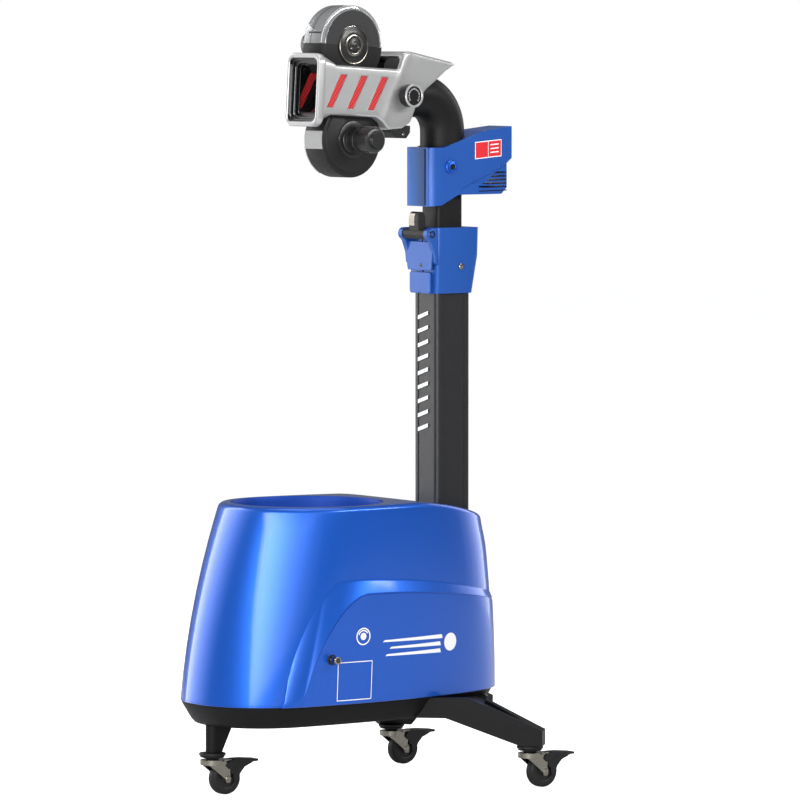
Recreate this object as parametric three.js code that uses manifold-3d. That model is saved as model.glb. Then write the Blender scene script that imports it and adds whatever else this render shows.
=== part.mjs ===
// Table tennis robot on three casters: an egg-shaped hopper that holds and lifts the balls,
// a telescopic mast, an elbow pipe that swings, and a throwing head with two powered wheels.
// Millimetres. X points forwards (the throwing direction), Y to the robot's left, Z up from the floor.
// The source measures X from the mast's axis; the last group moves the origin under the middle.

import * as THREE from 'three';
import { mergeVertices } from 'three/addons/utils/BufferGeometryUtils.js';
import Module from 'manifold-3d';

const wasm = await Module();
wasm.setup();

// Shared fits
const clearance = 0.3;
const runningGap = 1;
const overrun = 8;
const ballBore = 43;

// Stance of the three casters
const frontCasterX = 428;
const rearCasterX = -34;
const rearCasterY = 193;

// Caster
const caster = {
  height: 66,
  wheelRadius: 25,
  wheelWidth: 18,
  tyreRound: 4,
  hubRadius: 15,
  hubDish: 1.5,
  trail: 21.7,
  axleRadius: 3,
  rivetRadius: 4.6,
  rivetThickness: 1.2,
  forkRadius: 18.8,
  forkWall: 2,
  forkTop: 55,
  forkTopThickness: 2.5,
  forkSkirt: 8,
  lugRadius: 6.5,
  capRadius: 20.5,
  capFlange: 4,
  capNeckRadius: 10,
  stemRadius: 5,
  stemLength: 16,
  pedalReach: 78,
  pedalTop: 52.5,
  pedalThickness: 3.5,
  pedalRoot: 38,
  pedalShoulder: 56,
  eyeRadius: 5,
  pivotX: 23,
  pivotZ: 45,
  pivotRadius: 2,
  pedalLow: 47.5,
  pedalRise: 1.5,
  pedalWall: 3,
  pedalTipShare: 0.62,
  pinLip: 2,
  pinHead: 2.5,
  forkFront: 12,
  forkBack: 6,
  forkHeel: 38,
  wheelSpace: 1.4,
};

// Tub: plan sizes at its bottom and at its rim
const tub = {
  bottom: 142,
  rim: 446,
  wall: 4,
  edge: 7,
  lowNose: 459,
  lowWide: 330,
  lowHalf: 127,
  lowTail: -88,
  topNose: 385,
  topWide: 254,
  topHalf: 134,
  topTail: -59,
  noseBulge: 11,
  halfBulge: 3,
  tailBulge: 6,
  crown: 120,
  deckFall: 32,
};
const noseExponentShare = 2.2;
const deckCurveShare = 1.5;
const deckBlendShare = 0.7;

// Raised fender on the tub's sides, and the service cover inside its edge
const fender = {
  raise: 7,
  tailRaise: 3,
  outerTop: 332,
  outerStart: 285,
  outerFoot: 346,
  outerRearFall: 42,
  innerTop: 311,
  innerStart: 234,
  innerFoot: 312,
  innerRearFall: 31,
  rowGap: 4,
  coverThickness: 3,
  seam: 0.8,
};

// Opening of the hopper and the bowl under it
const opening = { x: 254, margin: 18 };
const openingRadius = tub.topHalf - opening.margin;
const bowl = {
  wall: 2.5,
  flange: 5,
  flangeThickness: 4,
  shoulder: 262,
  shoulderInset: 12,
  floor: 216,
  floorRadius: 78,
  wellRadius: 63,
  wellFloor: 197,
};

// Ball pick-up wheel in the bowl's well, its motor and the tube to the mast
const pickup = { radius: 61.5, thickness: 16, hubRadius: 15, hubHeight: 14, pocketCircle: 39, pockets: 5 };
const shaftRadius = 4;
const feedMotor = { radius: 13.5, footHalf: 34, footThickness: 4, base: 111.5 };
const feedTube = { outer: 24.5, level: 152, bend: 38, start: 36 };
const controlUnit = { rear: 306, length: 92, halfWidth: 46, height: 32, ribDepth: 4, ribs: 6 };

// Tray under the tub, front leg and rear arms
const tray = { bottom: 108, wall: 3.5, chin: 6, topInset: 1, sideInset: 16, bottomInset: 24 };
const frontLeg = { radius: 10.4, footRear: 417, rootRear: 397 };
const arm = {
  end: 21.6,
  endHalf: 21,
  root: 230,
  frontRoot: 17,
  rearKnee: 67.6,
  rearKneeHalf: 61.6,
  tailKnee: 74,
  tailHalf: 127,
  endTop: 90,
  rootTop: 140,
  crest: 95,
  heel: 130,
  sole: 12,
  pocketDepth: 6,
  pocketRib: 8,
};
const armAngle = THREE.MathUtils.degToRad(138);

// Masts
const mast = { size: 64, corner: 7, wall: 3, base: 119, top: 812, channelHalf: 21, channelDepth: 1.2 };
const foot = { half: 35.6, height: 46, corner: 8 };
const upperMast = { size: 48, corner: 7, wall: 1.6, base: 500, top: 938 };
const bushHeight = 40;

// Clamp collar, its pin and cam lever
const collar = {
  bottom: 764,
  waist: 823,
  top: 867,
  lowHalf: 35,
  topFront: 37,
  topRear: 42,
  topHalf: 43,
  waistHalf: 41,
  corner: 7,
  earX: 47,
  earZ: 857,
  earRadius: 9.5,
  earInner: 30,
  earOuter: 40,
  tabHalf: 26,
  tabHeight: 31,
  tabDepth: 5,
  slitHalf: 1.5,
};
const lever = { barrelRadius: 8.3, pinRadius: 3, headRadius: 5.8, headLength: 2, half: 13.5, tipZ: 892, thickness: 5 };

// Swing bracket at the top of the upper mast, as heights and reaches of its side outline
const bracket = {
  halfWidth: 38.5,
  wall: 3,
  corner: 16,
  rearHalf: 31,
  front: 48,
  frontBottom: 900,
  frontTop: 992,
  riseX: 22,
  crestX: -53,
  crestTop: 1017,
  rear: -111.5,
  rearTop: 1024,
  stepTop: 974,
  stepX: -101,
  stepBottom: 966,
  boxRear: 928,
  boxX: -90,
  boxBottom: 918,
  breakX: -5,
  kneeX: 27,
  kneeZ: 902,
  seamX: -11,
  seamLow: 927,
  seamHigh: 964,
  bossX: 9.5,
  bossZ: 962,
  bossRadius: 10,
  bossLength: 2.5,
  bossHex: 5.5,
};
const vent = { count: 5, halfHeight: 1.2, rear: -97, front: -79, top: 952, pitch: 5.5, step: 8.9 };
const hub = { top: 972, rear: -36, spigot: 984, wallGap: 0.4 };
const swingMotor = { radius: 16, bottom: 944, top: 1004, x: -66, plateHalf: 20, plateTop: 949, gearRadius: 12 };

// Elbow pipe and the neck that carries the head
const pipe = { radius: 34.6, wall: 3, bend: 58, level: 1074, reach: 82 };
const neck = { pivotX: 110, radius: 27, halfWidth: 33, plug: 12, flange: 8, front: 22 };
const headYaw = THREE.MathUtils.degToRad(7.3);
const headPitch = THREE.MathUtils.degToRad(-3.5);

// Head: places are measured from the tilt pivot
const head = {
  half: 38.5,
  wall: 3,
  bevel: 2.5,
  seam: 0.15,
  mouth: 172,
  mouthHalf: 53,
  lip: 160,
  lipTop: 52,
  throat: 143,
  top: 40,
  ramp: 14,
  crest: 6,
  crestTop: 66,
  peak: -8,
  peakTop: 69,
  tail: -97,
  tailTop: 57,
  tip: -101,
  tipHeight: 54,
  tailFoot: -96,
  tailLow: 49,
  shoulder: -42,
  shoulderHeight: 9,
  waist: -24,
  waistDepth: 18,
  heel: -15,
  heelDepth: 42,
  sole: 2,
  soleDepth: 52,
  toe: 31,
  toeDepth: 55,
  instep: 42,
  instepDepth: 45,
  belly: 56,
  bellyDepth: 37,
  chin: 148,
};
const headOutline = [
  [head.mouth, -head.mouthHalf],
  [head.mouth, head.mouthHalf],
  [head.lip, head.lipTop],
  [head.throat, head.top],
  [head.ramp, head.top],
  [head.crest, head.crestTop],
  [head.peak, head.peakTop],
  [head.tail, head.tailTop],
  [head.tip, head.tipHeight],
  [head.tailFoot, head.tailLow],
  [head.shoulder, head.shoulderHeight],
  [head.waist, -head.waistDepth],
  [head.heel, -head.heelDepth],
  [head.sole, -head.soleDepth],
  [head.toe, -head.toeDepth],
  [head.instep, -head.instepDepth],
  [head.belly, -head.bellyDepth],
  [head.chin, -head.bellyDepth],
];
const recess = { rear: -4, front: 40, half: 32, roof: 61 };
const pipeWindow = { front: -7, roof: 45, low: -70 };
const slot = { half: 6.5, height: 26, lean: 13, firstX: 141, pitch: 42, count: 3, film: 2, margin: 5 };
const mouthFrame = { depth: 7, halfWidth: 40, halfHeight: 56.5, corner: 14, rim: 5.5 };
const liner = { start: 160, wall: 2.5, step: 5, throatHalf: 40, windowHalf: 29, windowTall: 34.5 };
const wheels = {
  upperX: 100,
  lowerX: 92,
  z: 72.5,
  upperDrum: 61.5,
  lowerDrum: 59,
  half: 23.5,
  wall: 2.4,
  mouthZ: 26,
  faceRim: 6.5,
  faceStep: 1.6,
  roller: 52.7,
  rollerHalf: 15,
  groove: 1.5,
  shaft: 3,
  plate: 29,
  plateThickness: 2.5,
  motor: 18,
  motorLength: 56,
  cap: 12,
  capLength: 4,
  pilot: 6,
};
const channel = { outer: 24.5, rear: 31, front: 58, plateRear: 36, plateFront: 39, plateHalf: 32.4, plateHeight: 25.6 };
const underCover = { rear: -16, front: 26, topDepth: 46, sideDepth: 57, lowDepth: 66, rearLow: -9, frontLow: 12 };
const knob = { radius: 18.2, start: 42, end: 60, rim: 2, dish: 1.5, neck: 12, shaft: 5, tip: 24 };
const pivotHead = { radius: 9, thickness: 4 };
const sideKnob = { x: 298, z: 213, base: 8, baseEnd: 2.2, radius: 6.3, end: 17.2, tip: 2 };

// Plain helpers

const mergeShare = 1e-4;
const facets = { tiny: 8, small: 12, medium: 20, large: 32, tub: 56 };

const { lerp } = THREE.MathUtils;

function solidOf(geometry) {
  const bare = geometry.index ? geometry.toNonIndexed() : geometry.clone();
  bare.deleteAttribute('normal');
  bare.deleteAttribute('uv');
  const merged = mergeVertices(bare, mergeShare);
  const triVerts = [];
  const index = merged.index.array;
  for (let i = 0; i < index.length; i += 3) {
    const [a, b, c] = [index[i], index[i + 1], index[i + 2]];
    if (a !== b && b !== c && c !== a) triVerts.push(a, b, c);
  }
  const mesh = new wasm.Mesh({
    numProp: 3,
    vertProperties: new Float32Array(merged.attributes.position.array),
    triVerts: new Uint32Array(triVerts),
  });
  return new wasm.Manifold(mesh);
}

function geometryOf(solid) {
  const mesh = solid.getMesh();
  const geometry = new THREE.BufferGeometry();
  geometry.setAttribute('position', new THREE.BufferAttribute(new Float32Array(mesh.vertProperties), 3));
  geometry.setIndex(new THREE.BufferAttribute(new Uint32Array(mesh.triVerts), 1));
  const flat = geometry.toNonIndexed();
  flat.computeVertexNormals();
  return flat;
}

function join(...solids) {
  return solids.reduce((whole, piece) => whole.add(piece));
}

function cut(solid, ...tools) {
  return tools.reduce((left, tool) => left.subtract(tool), solid);
}

function common(...solids) {
  return solids.reduce((left, piece) => left.intersect(piece));
}

// A block between two corners
function block(fromX, toX, fromY, toY, fromZ, toZ) {
  const geometry = new THREE.BoxGeometry(toX - fromX, toY - fromY, toZ - fromZ);
  geometry.translate((fromX + toX) / 2, (fromY + toY) / 2, (fromZ + toZ) / 2);
  return solidOf(geometry);
}

// A turned piece: profile points are [radius, place along the axis]
function turned(profile, axis, x, y, z, sides) {
  const points = profile.map(([radius, place]) => new THREE.Vector2(radius, place));
  const geometry = new THREE.LatheGeometry(points, sides);
  if (axis === 'x') geometry.rotateZ(-Math.PI / 2);
  if (axis === 'z') geometry.rotateX(Math.PI / 2);
  geometry.translate(x, y, z);
  const solid = solidOf(geometry);
  return solid.volume() < 0 ? solidOf(flipped(geometry)) : solid;
}

function flipped(geometry) {
  const turnedOver = geometry.index ? geometry.toNonIndexed() : geometry.clone();
  const array = turnedOver.attributes.position.array;
  for (let i = 0; i < array.length; i += 9) {
    for (let k = 0; k < 3; k += 1) {
      [array[i + 3 + k], array[i + 6 + k]] = [array[i + 6 + k], array[i + 3 + k]];
    }
  }
  return turnedOver;
}

// A round bar or bore from one place to another along an axis through (x, y, z)
function rod(radius, from, to, axis, x, y, z, sides) {
  return turned([[0, from], [radius, from], [radius, to], [0, to]], axis, x, y, z, sides);
}

function ring(outer, inner, from, to, axis, x, y, z, sides) {
  const tube = [[inner, from], [outer, from], [outer, to], [inner, to], [inner, from]];
  return turned(tube, axis, x, y, z, sides);
}

function outline(points) {
  return new THREE.Shape(points.map(([a, b]) => new THREE.Vector2(a, b)));
}

// Outline of a rectangle with round corners, as a list of points
function roundedRectangle(halfA, halfB, corner, steps = 4) {
  const points = [];
  const centres = [[1, 1, 0], [-1, 1, 1], [-1, -1, 2], [1, -1, 3]];
  for (const [signA, signB, quarter] of centres) {
    for (let i = 0; i <= steps; i += 1) {
      const angle = (quarter + i / steps) * Math.PI / 2;
      const a = signA * (halfA - corner) + corner * Math.cos(angle);
      const b = signB * (halfB - corner) + corner * Math.sin(angle);
      points.push([a, b]);
    }
  }
  return points;
}

// Prisms: an outline in plan, in side view (X, Z) or in front view (Y, Z), between two places
function planPrism(points, fromZ, toZ) {
  const geometry = new THREE.ExtrudeGeometry(outline(points), { depth: toZ - fromZ, bevelEnabled: false });
  geometry.translate(0, 0, fromZ);
  return solidOf(geometry);
}

function sidePrism(points, fromY, toY, bevel = 0) {
  const geometry = new THREE.ExtrudeGeometry(outline(points), {
    depth: toY - fromY - 2 * bevel,
    bevelEnabled: bevel > 0,
    bevelThickness: bevel,
    bevelSize: bevel,
    bevelOffset: -bevel,
    bevelSegments: 2,
  });
  geometry.rotateX(Math.PI / 2);
  geometry.translate(0, toY - bevel, 0);
  return solidOf(geometry);
}

function frontPrism(points, fromX, toX) {
  const geometry = new THREE.ExtrudeGeometry(outline(points), { depth: toX - fromX, bevelEnabled: false });
  geometry.rotateX(Math.PI / 2);
  geometry.rotateZ(Math.PI / 2);
  geometry.translate(fromX, 0, 0);
  return solidOf(geometry);
}

// A solid through a stack of rings that mirror about the XZ plane; each ring starts at its nose
function stacked(rings) {
  const count = rings[0].length;
  const positions = [];
  const push = (...corners) => corners.forEach((p) => positions.push(p.x, p.y, p.z));
  for (let level = 0; level + 1 < rings.length; level += 1) {
    for (let i = 0; i < count; i += 1) {
      const next = (i + 1) % count;
      const [low, high] = [rings[level], rings[level + 1]];
      push(low[i], low[next], high[next], low[i], high[next], high[i]);
    }
  }
  const [floor, roof] = [rings[0], rings[rings.length - 1]];
  for (let i = 0; i < count / 2; i += 1) {
    const mirror = (count - i) % count;
    const before = count - i - 1;
    push(roof[i], roof[i + 1], roof[before], floor[i], floor[before], floor[i + 1]);
    if (mirror !== i) push(roof[i], roof[before], roof[mirror], floor[i], floor[mirror], floor[before]);
  }
  const geometry = new THREE.BufferGeometry();
  geometry.setAttribute('position', new THREE.Float32BufferAttribute(positions, 3));
  return solidOf(geometry);
}

// Rings for stacks: a rounded rectangle in plan, and a circle across a path bent in the XZ plane
function plateRing(front, rear, half, corner, z) {
  const steps = 3;
  const centreX = (front + rear) / 2;
  const round = roundedRectangle((front - rear) / 2, half, corner, steps).map(([x, y]) => [x + centreX, y]);
  const side = 2 * (steps + 1);
  const ordered = [[front, 0], ...round.slice(0, side), [rear, 0], ...round.slice(side)];
  return ordered.map(([x, y]) => new THREE.Vector3(x, y, z));
}

function bentPipe(radius, path, sides) {
  const rings = path.map(([x, z, angle]) => {
    const points = [];
    for (let i = 0; i < sides; i += 1) {
      const turn = (i / sides) * 2 * Math.PI;
      const out = radius * Math.cos(turn);
      const y = radius * Math.sin(turn);
      points.push(new THREE.Vector3(x + out * Math.cos(angle), y, z - out * Math.sin(angle)));
    }
    return points;
  });
  return stacked(rings);
}

// Quarter bend about a centre; the signed radius says on which side the path runs
function bendPath(centreX, centreZ, radius, fromTurn, toTurn) {
  const steps = 6;
  const path = [];
  for (let i = 0; i <= steps; i += 1) {
    const angle = lerp(fromTurn, toTurn, i / steps);
    path.push([centreX - radius * Math.cos(angle), centreZ + radius * Math.sin(angle), angle]);
  }
  return path;
}

// An outline drawn in by a distance along the mean of its neighbouring edges
function drawnIn(points, distance) {
  return points.map((point, i) => {
    const before = points[(i + points.length - 1) % points.length];
    const after = points[(i + 1) % points.length];
    const [ax, ay] = unit(point[0] - before[0], point[1] - before[1]);
    const [bx, by] = unit(after[0] - point[0], after[1] - point[1]);
    const [nx, ny] = unit(-(ay + by), ax + bx);
    const stretch = distance / Math.max(-ay * nx + ax * ny, 0.35);
    return [point[0] + nx * stretch, point[1] + ny * stretch];
  });
}

function unit(a, b) {
  const length = Math.hypot(a, b);
  return [a / length, b / length];
}

// Materials

function plastic(color, roughness, metalness = 0) {
  return new THREE.MeshStandardMaterial({ color, roughness, metalness });
}

const blueGloss = plastic(0x2450be, 0.18);
const blueSatin = plastic(0x2a55c4, 0.35);
const blackSatin = plastic(0x2c2c2e, 0.5);
const blackMatt = plastic(0x1c1c1d, 0.7);
const blackGloss = plastic(0x1a1a1b, 0.25);
const anodised = plastic(0x3a3a3c, 0.45, 0.3);
const silver = plastic(0xa9abad, 0.38, 0.55);
const nickel = plastic(0xb9b3a4, 0.25, 1);
const smoke = plastic(0x5a5c5e, 0.1);
const redFilm = plastic(0xd0383c, 0.5);
const rubber = plastic(0x252525, 0.85);
const motorMetal = plastic(0x8f9194, 0.35, 0.9);
const whitePlastic = plastic(0xd9d9d6, 0.5);

const robot = new THREE.Group();

function place(name, solid, material, parent = robot) {
  const mesh = new THREE.Mesh(geometryOf(solid), material);
  mesh.name = name;
  parent.add(mesh);
  return mesh;
}

// Tub

// Plan of the tub: a blunt nose and a long elliptic tail; share runs from the bottom to the rim
function tubPlan(share, turn) {
  const belly = 4 * share * (1 - share);
  const nose = lerp(tub.lowNose, tub.topNose, share) + tub.noseBulge * belly;
  const tail = lerp(tub.lowTail, tub.topTail, share) - tub.tailBulge * belly;
  const wide = lerp(tub.lowWide, tub.topWide, share);
  const half = lerp(tub.lowHalf, tub.topHalf, share) + tub.halfBulge * belly;
  const [c, s] = [Math.cos(turn), Math.sin(turn)];
  const power = c > 0 ? 2 / noseExponentShare : 1;
  const reach = c > 0 ? nose - wide : wide - tail;
  const x = wide + Math.sign(c) * reach * Math.abs(c) ** power;
  const y = half * Math.sign(s) * Math.abs(s) ** power;
  return [x, y];
}

function tubNormal(share, turn) {
  const step = 0.01;
  const [x0, y0] = tubPlan(share, turn - step);
  const [x1, y1] = tubPlan(share, turn + step);
  return unit(y1 - y0, -(x1 - x0));
}

function deckFallAt(x) {
  const way = Math.max(tub.crown - x, 0) / (tub.crown - tub.topTail);
  return tub.deckFall * way ** deckCurveShare;
}

// A point on the tub's side, moved outwards by an offset; the rim follows the sloping deck
function tubPoint(turn, z, offset) {
  const share = (z - tub.bottom) / (tub.rim - tub.bottom);
  const [x, y] = tubPlan(THREE.MathUtils.clamp(share, 0, 1), turn);
  const [nx, ny] = tubNormal(THREE.MathUtils.clamp(share, 0, 1), turn);
  const blend = THREE.MathUtils.smoothstep(share, deckBlendShare, 1);
  return new THREE.Vector3(x + nx * offset, y + ny * offset, z - blend * deckFallAt(x));
}

function tubRing(levelAt, offsetAt) {
  const points = [];
  for (let i = 0; i < facets.tub; i += 1) {
    const turn = (i / facets.tub) * 2 * Math.PI;
    points.push(tubPoint(turn, levelAt(turn), offsetAt(turn)));
  }
  return points;
}

// Height of a fender line: it falls towards the tail and drops to the tub's bottom as a quarter ellipse
function fenderEdge(turn, top, start, edgeFoot, rearFall) {
  const [x] = tubPlan(0.5, turn);
  const [tail] = tubPlan(0.5, Math.PI);
  const behind = Math.max(start - x, 0) / (start - tail);
  const ahead = THREE.MathUtils.clamp((x - start) / (edgeFoot - start), 0, 1);
  return top - rearFall * behind ** 2 - (top - tub.bottom) * (1 - Math.sqrt(1 - ahead ** 2));
}

function fenderOuter(turn) {
  const f = fender;
  const edge = fenderEdge(turn, f.outerTop, f.outerStart, f.outerFoot, f.outerRearFall);
  return Math.max(edge, tub.bottom + 3 * f.rowGap);
}

function fenderInner(turn) {
  const f = fender;
  const edge = fenderEdge(turn, f.innerTop, f.innerStart, f.innerFoot, f.innerRearFall);
  return Math.max(edge, tub.bottom + 2 * f.rowGap);
}

// How far the fender stands out: less towards the tail
function fenderRaise(turn) {
  const side = Math.cos(turn) < 0 ? Math.abs(Math.sin(turn)) : 1;
  return lerp(fender.tailRaise, fender.raise, side);
}

const coverLimit = tub.bottom + 2 * fender.rowGap + clearance;
const hasFender = (turn) => fenderOuter(turn) > tub.bottom + 3 * fender.rowGap;
const hasCover = (turn) => fenderInner(turn) > coverLimit;

function tubOuter() {
  const seat = (turn) => fenderRaise(turn) - fender.coverThickness - clearance;
  const plain = () => 0;
  const rings = [
    tubRing(() => tub.bottom, (turn) => (hasCover(turn) ? seat(turn) : hasFender(turn) ? fender.raise / 2 : 0)),
    tubRing((turn) => fenderInner(turn) - fender.seam, (turn) => (hasCover(turn) ? seat(turn) : fenderRise(turn))),
    tubRing(fenderInner, fenderRise),
    tubRing(fenderOuter, plain),
  ];
  const upperShares = [0.3, 0.6, 0.85];
  for (const share of upperShares) {
    rings.push(tubRing((turn) => lerp(fenderOuter(turn), tub.rim - tub.edge, share), plain));
  }
  const roundSteps = 3;
  for (let i = 0; i <= roundSteps; i += 1) {
    const angle = (i / roundSteps) * Math.PI / 2;
    const level = tub.rim - tub.edge * (1 - Math.sin(angle));
    rings.push(tubRing(() => level, () => -tub.edge * (1 - Math.cos(angle))));
  }
  return stacked(rings);
}

function fenderRise(turn) {
  return hasCover(turn) ? fenderRaise(turn) : 0;
}

function tubInner(top) {
  const shares = [0, 0.25, 0.5, 0.75, 1];
  const rings = shares.map((share) => {
    const level = lerp(tub.bottom, top, share);
    return tubRing(() => level, () => -tub.wall);
  });
  const skirt = rings[0].map((p) => new THREE.Vector3(p.x, p.y, tub.bottom - overrun));
  return stacked([skirt, ...rings]);
}

function openingPrism(fromZ, toZ) {
  return rod(openingRadius, fromZ, toZ, 'z', opening.x, 0, 0, facets.large);
}

function squarePost(half, corner, fromZ, toZ) {
  return planPrism(roundedRectangle(half, half, corner), fromZ, toZ);
}

function knobBore(radius, from, to) {
  return rod(radius, from, to, 'y', sideKnob.x, 0, sideKnob.z, facets.medium);
}

const tubSolid = cut(
  tubOuter(),
  tubInner(tub.rim - tub.wall),
  openingPrism(tub.rim - tub.wall - overrun, tub.rim + overrun),
  squarePost(mast.size / 2 + clearance, mast.corner, tub.rim - tub.deckFall - 4 * tub.wall, tub.rim + overrun),
);

// The service cover of one side, from the fender's foot round to the tail
function sideCover(side) {
  const columns = [];
  const last = facets.tub / 2;
  const tailGap = fender.seam / 2;
  for (let i = 0; i <= last; i += 1) {
    const turn = (i / facets.tub) * 2 * Math.PI;
    if (hasCover(turn)) columns.push(turn);
  }
  const rowShares = [0, 0.35, 0.7, 1];
  const grid = columns.map((turn) => {
    const top = fenderInner(turn) - 2 * fender.seam;
    const low = tub.bottom + clearance;
    const outer = fenderRaise(turn);
    const inner = outer - fender.coverThickness;
    return rowShares.map((share) => {
      const z = lerp(low, top, share);
      const pair = [tubPoint(turn, z, outer), tubPoint(turn, z, inner)];
      pair.forEach((p) => {
        p.y = Math.max(p.y, tailGap) * side;
      });
      return pair;
    });
  });
  const positions = [];
  const quad = (a, b, c, d) => {
    const corners = side > 0 ? [a, b, c, a, c, d] : [a, c, b, a, d, c];
    corners.forEach((p) => positions.push(p.x, p.y, p.z));
  };
  const rows = rowShares.length;
  for (let i = 0; i + 1 < grid.length; i += 1) {
    for (let k = 0; k + 1 < rows; k += 1) {
      quad(grid[i][k][0], grid[i + 1][k][0], grid[i + 1][k + 1][0], grid[i][k + 1][0]);
      quad(grid[i][k][1], grid[i][k + 1][1], grid[i + 1][k + 1][1], grid[i + 1][k][1]);
    }
    quad(grid[i][0][0], grid[i][0][1], grid[i + 1][0][1], grid[i + 1][0][0]);
    quad(grid[i][rows - 1][0], grid[i + 1][rows - 1][0], grid[i + 1][rows - 1][1], grid[i][rows - 1][1]);
  }
  const [first, end] = [grid[0], grid[grid.length - 1]];
  for (let k = 0; k + 1 < rows; k += 1) {
    quad(first[k][0], first[k + 1][0], first[k + 1][1], first[k][1]);
    quad(end[k][0], end[k][1], end[k + 1][1], end[k + 1][0]);
  }
  const geometry = new THREE.BufferGeometry();
  geometry.setAttribute('position', new THREE.Float32BufferAttribute(positions, 3));
  return solidOf(geometry);
}

const coverBore = knobBore(sideKnob.base + clearance, 0, tub.lowHalf * 2);

place('hopper_tub', cut(tubSolid, coverBore), blueGloss);
place('left_side_cover', cut(sideCover(1), coverBore), blueGloss);
place('right_side_cover', sideCover(-1), blueGloss);

// Side knob of the left cover

const knobShare = (sideKnob.z - tub.bottom) / (tub.rim - tub.bottom);
const knobRoot = tubPlan(knobShare, Math.PI / 2)[1];
const knobFace = knobRoot + fender.raise;
const knobTip = knobFace + sideKnob.end;
const knobCollar = knobFace + sideKnob.baseEnd;
const baseTube = ring(sideKnob.base, shaftRadius, knobRoot, knobCollar, 'y', sideKnob.x, 0, sideKnob.z, facets.small);
place('side_knob_base', baseTube, blackSatin);
const knobProfile = [
  [0, knobRoot],
  [shaftRadius - clearance, knobRoot],
  [shaftRadius - clearance, knobCollar + clearance],
  [sideKnob.radius, knobCollar + clearance],
  [sideKnob.radius, knobTip - sideKnob.tip],
  [sideKnob.radius - sideKnob.tip, knobTip],
  [0, knobTip],
];
place('side_knob', turned(knobProfile, 'y', sideKnob.x, 0, sideKnob.z, facets.small), blackGloss);

// Tray, front leg and rear arms

function trayBody(grown) {
  const levels = [[tray.bottom, tray.bottomInset], [tray.bottom + tray.chin, tray.sideInset], [tub.bottom, tray.topInset]];
  return stacked(levels.map(([z, inset]) => tubRing(() => z, () => grown - inset)));
}

const trayHollow = stacked([
  tubRing(() => tray.bottom + tray.wall, () => -tray.sideInset - 2 * tray.wall),
  tubRing(() => tub.bottom, () => -tray.topInset - tray.wall),
  tubRing(() => tub.bottom, () => -tray.topInset - tray.wall).map((p) => p.clone().setZ(tub.bottom + overrun)),
]);
place('base_tray', cut(trayBody(0), trayHollow), blackSatin);

const stemBore = (x, y) => rod(caster.stemRadius + clearance, 0, caster.height + caster.stemLength + clearance, 'z', x, y, 0, facets.small);
const legSide = sidePrism(
  [
    [frontLeg.footRear, caster.height],
    [frontCasterX + frontLeg.radius, caster.height],
    [frontCasterX + frontLeg.radius, tray.bottom],
    [frontLeg.rootRear, tray.bottom],
  ],
  -frontLeg.radius,
  frontLeg.radius,
);
const legPlan = join(
  block(frontLeg.rootRear, frontCasterX, -frontLeg.radius, frontLeg.radius, caster.height, tray.bottom),
  rod(frontLeg.radius, caster.height, tray.bottom, 'z', frontCasterX, 0, 0, facets.medium),
);
place('front_leg', cut(common(legSide, legPlan), stemBore(frontCasterX, 0)), blackSatin);

// A rear arm in its own frame: the caster's swivel axis is the origin and the arm points along +X
function armBody() {
  const plan = planPrism(
    [
      [arm.end, -arm.endHalf],
      [arm.end, arm.endHalf],
      [-arm.rearKnee, arm.rearKneeHalf],
      [-arm.tailKnee, arm.tailHalf],
      [-arm.root, arm.tailHalf],
      [-arm.root, -arm.frontRoot],
    ],
    0,
    2 * arm.rootTop,
  );
  const topLine = (drop) => [
    [arm.end, arm.endTop - drop],
    [-arm.crest, arm.rootTop - drop],
    [-arm.root, arm.rootTop - drop],
  ];
  const side = sidePrism(
    [
      [-arm.root, tray.bottom],
      [-arm.heel, tray.bottom],
      [-arm.sole, caster.height],
      [arm.end, caster.height],
      ...topLine(0),
    ],
    -arm.root,
    arm.root,
  );
  const above = sidePrism(
    [...topLine(arm.pocketDepth), [-arm.root, 2 * arm.rootTop], [arm.end, 2 * arm.rootTop]],
    -arm.root,
    arm.root,
  );
  const pocket = planPrism(
    [
      [-arm.pocketRib, 0],
      [-arm.rearKnee - arm.pocketRib, arm.rearKneeHalf - 2 * arm.pocketRib],
      [-arm.tailKnee - arm.pocketRib, arm.tailHalf],
      [-arm.root, arm.tailHalf],
      [-arm.root, -arm.frontRoot + arm.pocketRib],
    ],
    0,
    2 * arm.rootTop,
  );
  return cut(common(plan, side), common(pocket, above));
}

function rearArm(side) {
  const turn = THREE.MathUtils.radToDeg(armAngle);
  const placed = armBody().rotate([0, 0, turn]).translate([rearCasterX, rearCasterY, 0]);
  const left = cut(placed, trayBody(clearance), stemBore(rearCasterX, rearCasterY));
  const kept = common(left, block(-arm.root, arm.root, 0, 2 * rearCasterY, 0, tub.bottom - clearance));
  return side > 0 ? kept : kept.mirror([0, 1, 0]);
}

// Casters: the cap is fixed, the fork swivels, the wheel rolls and the pedal tips down to brake

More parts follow.
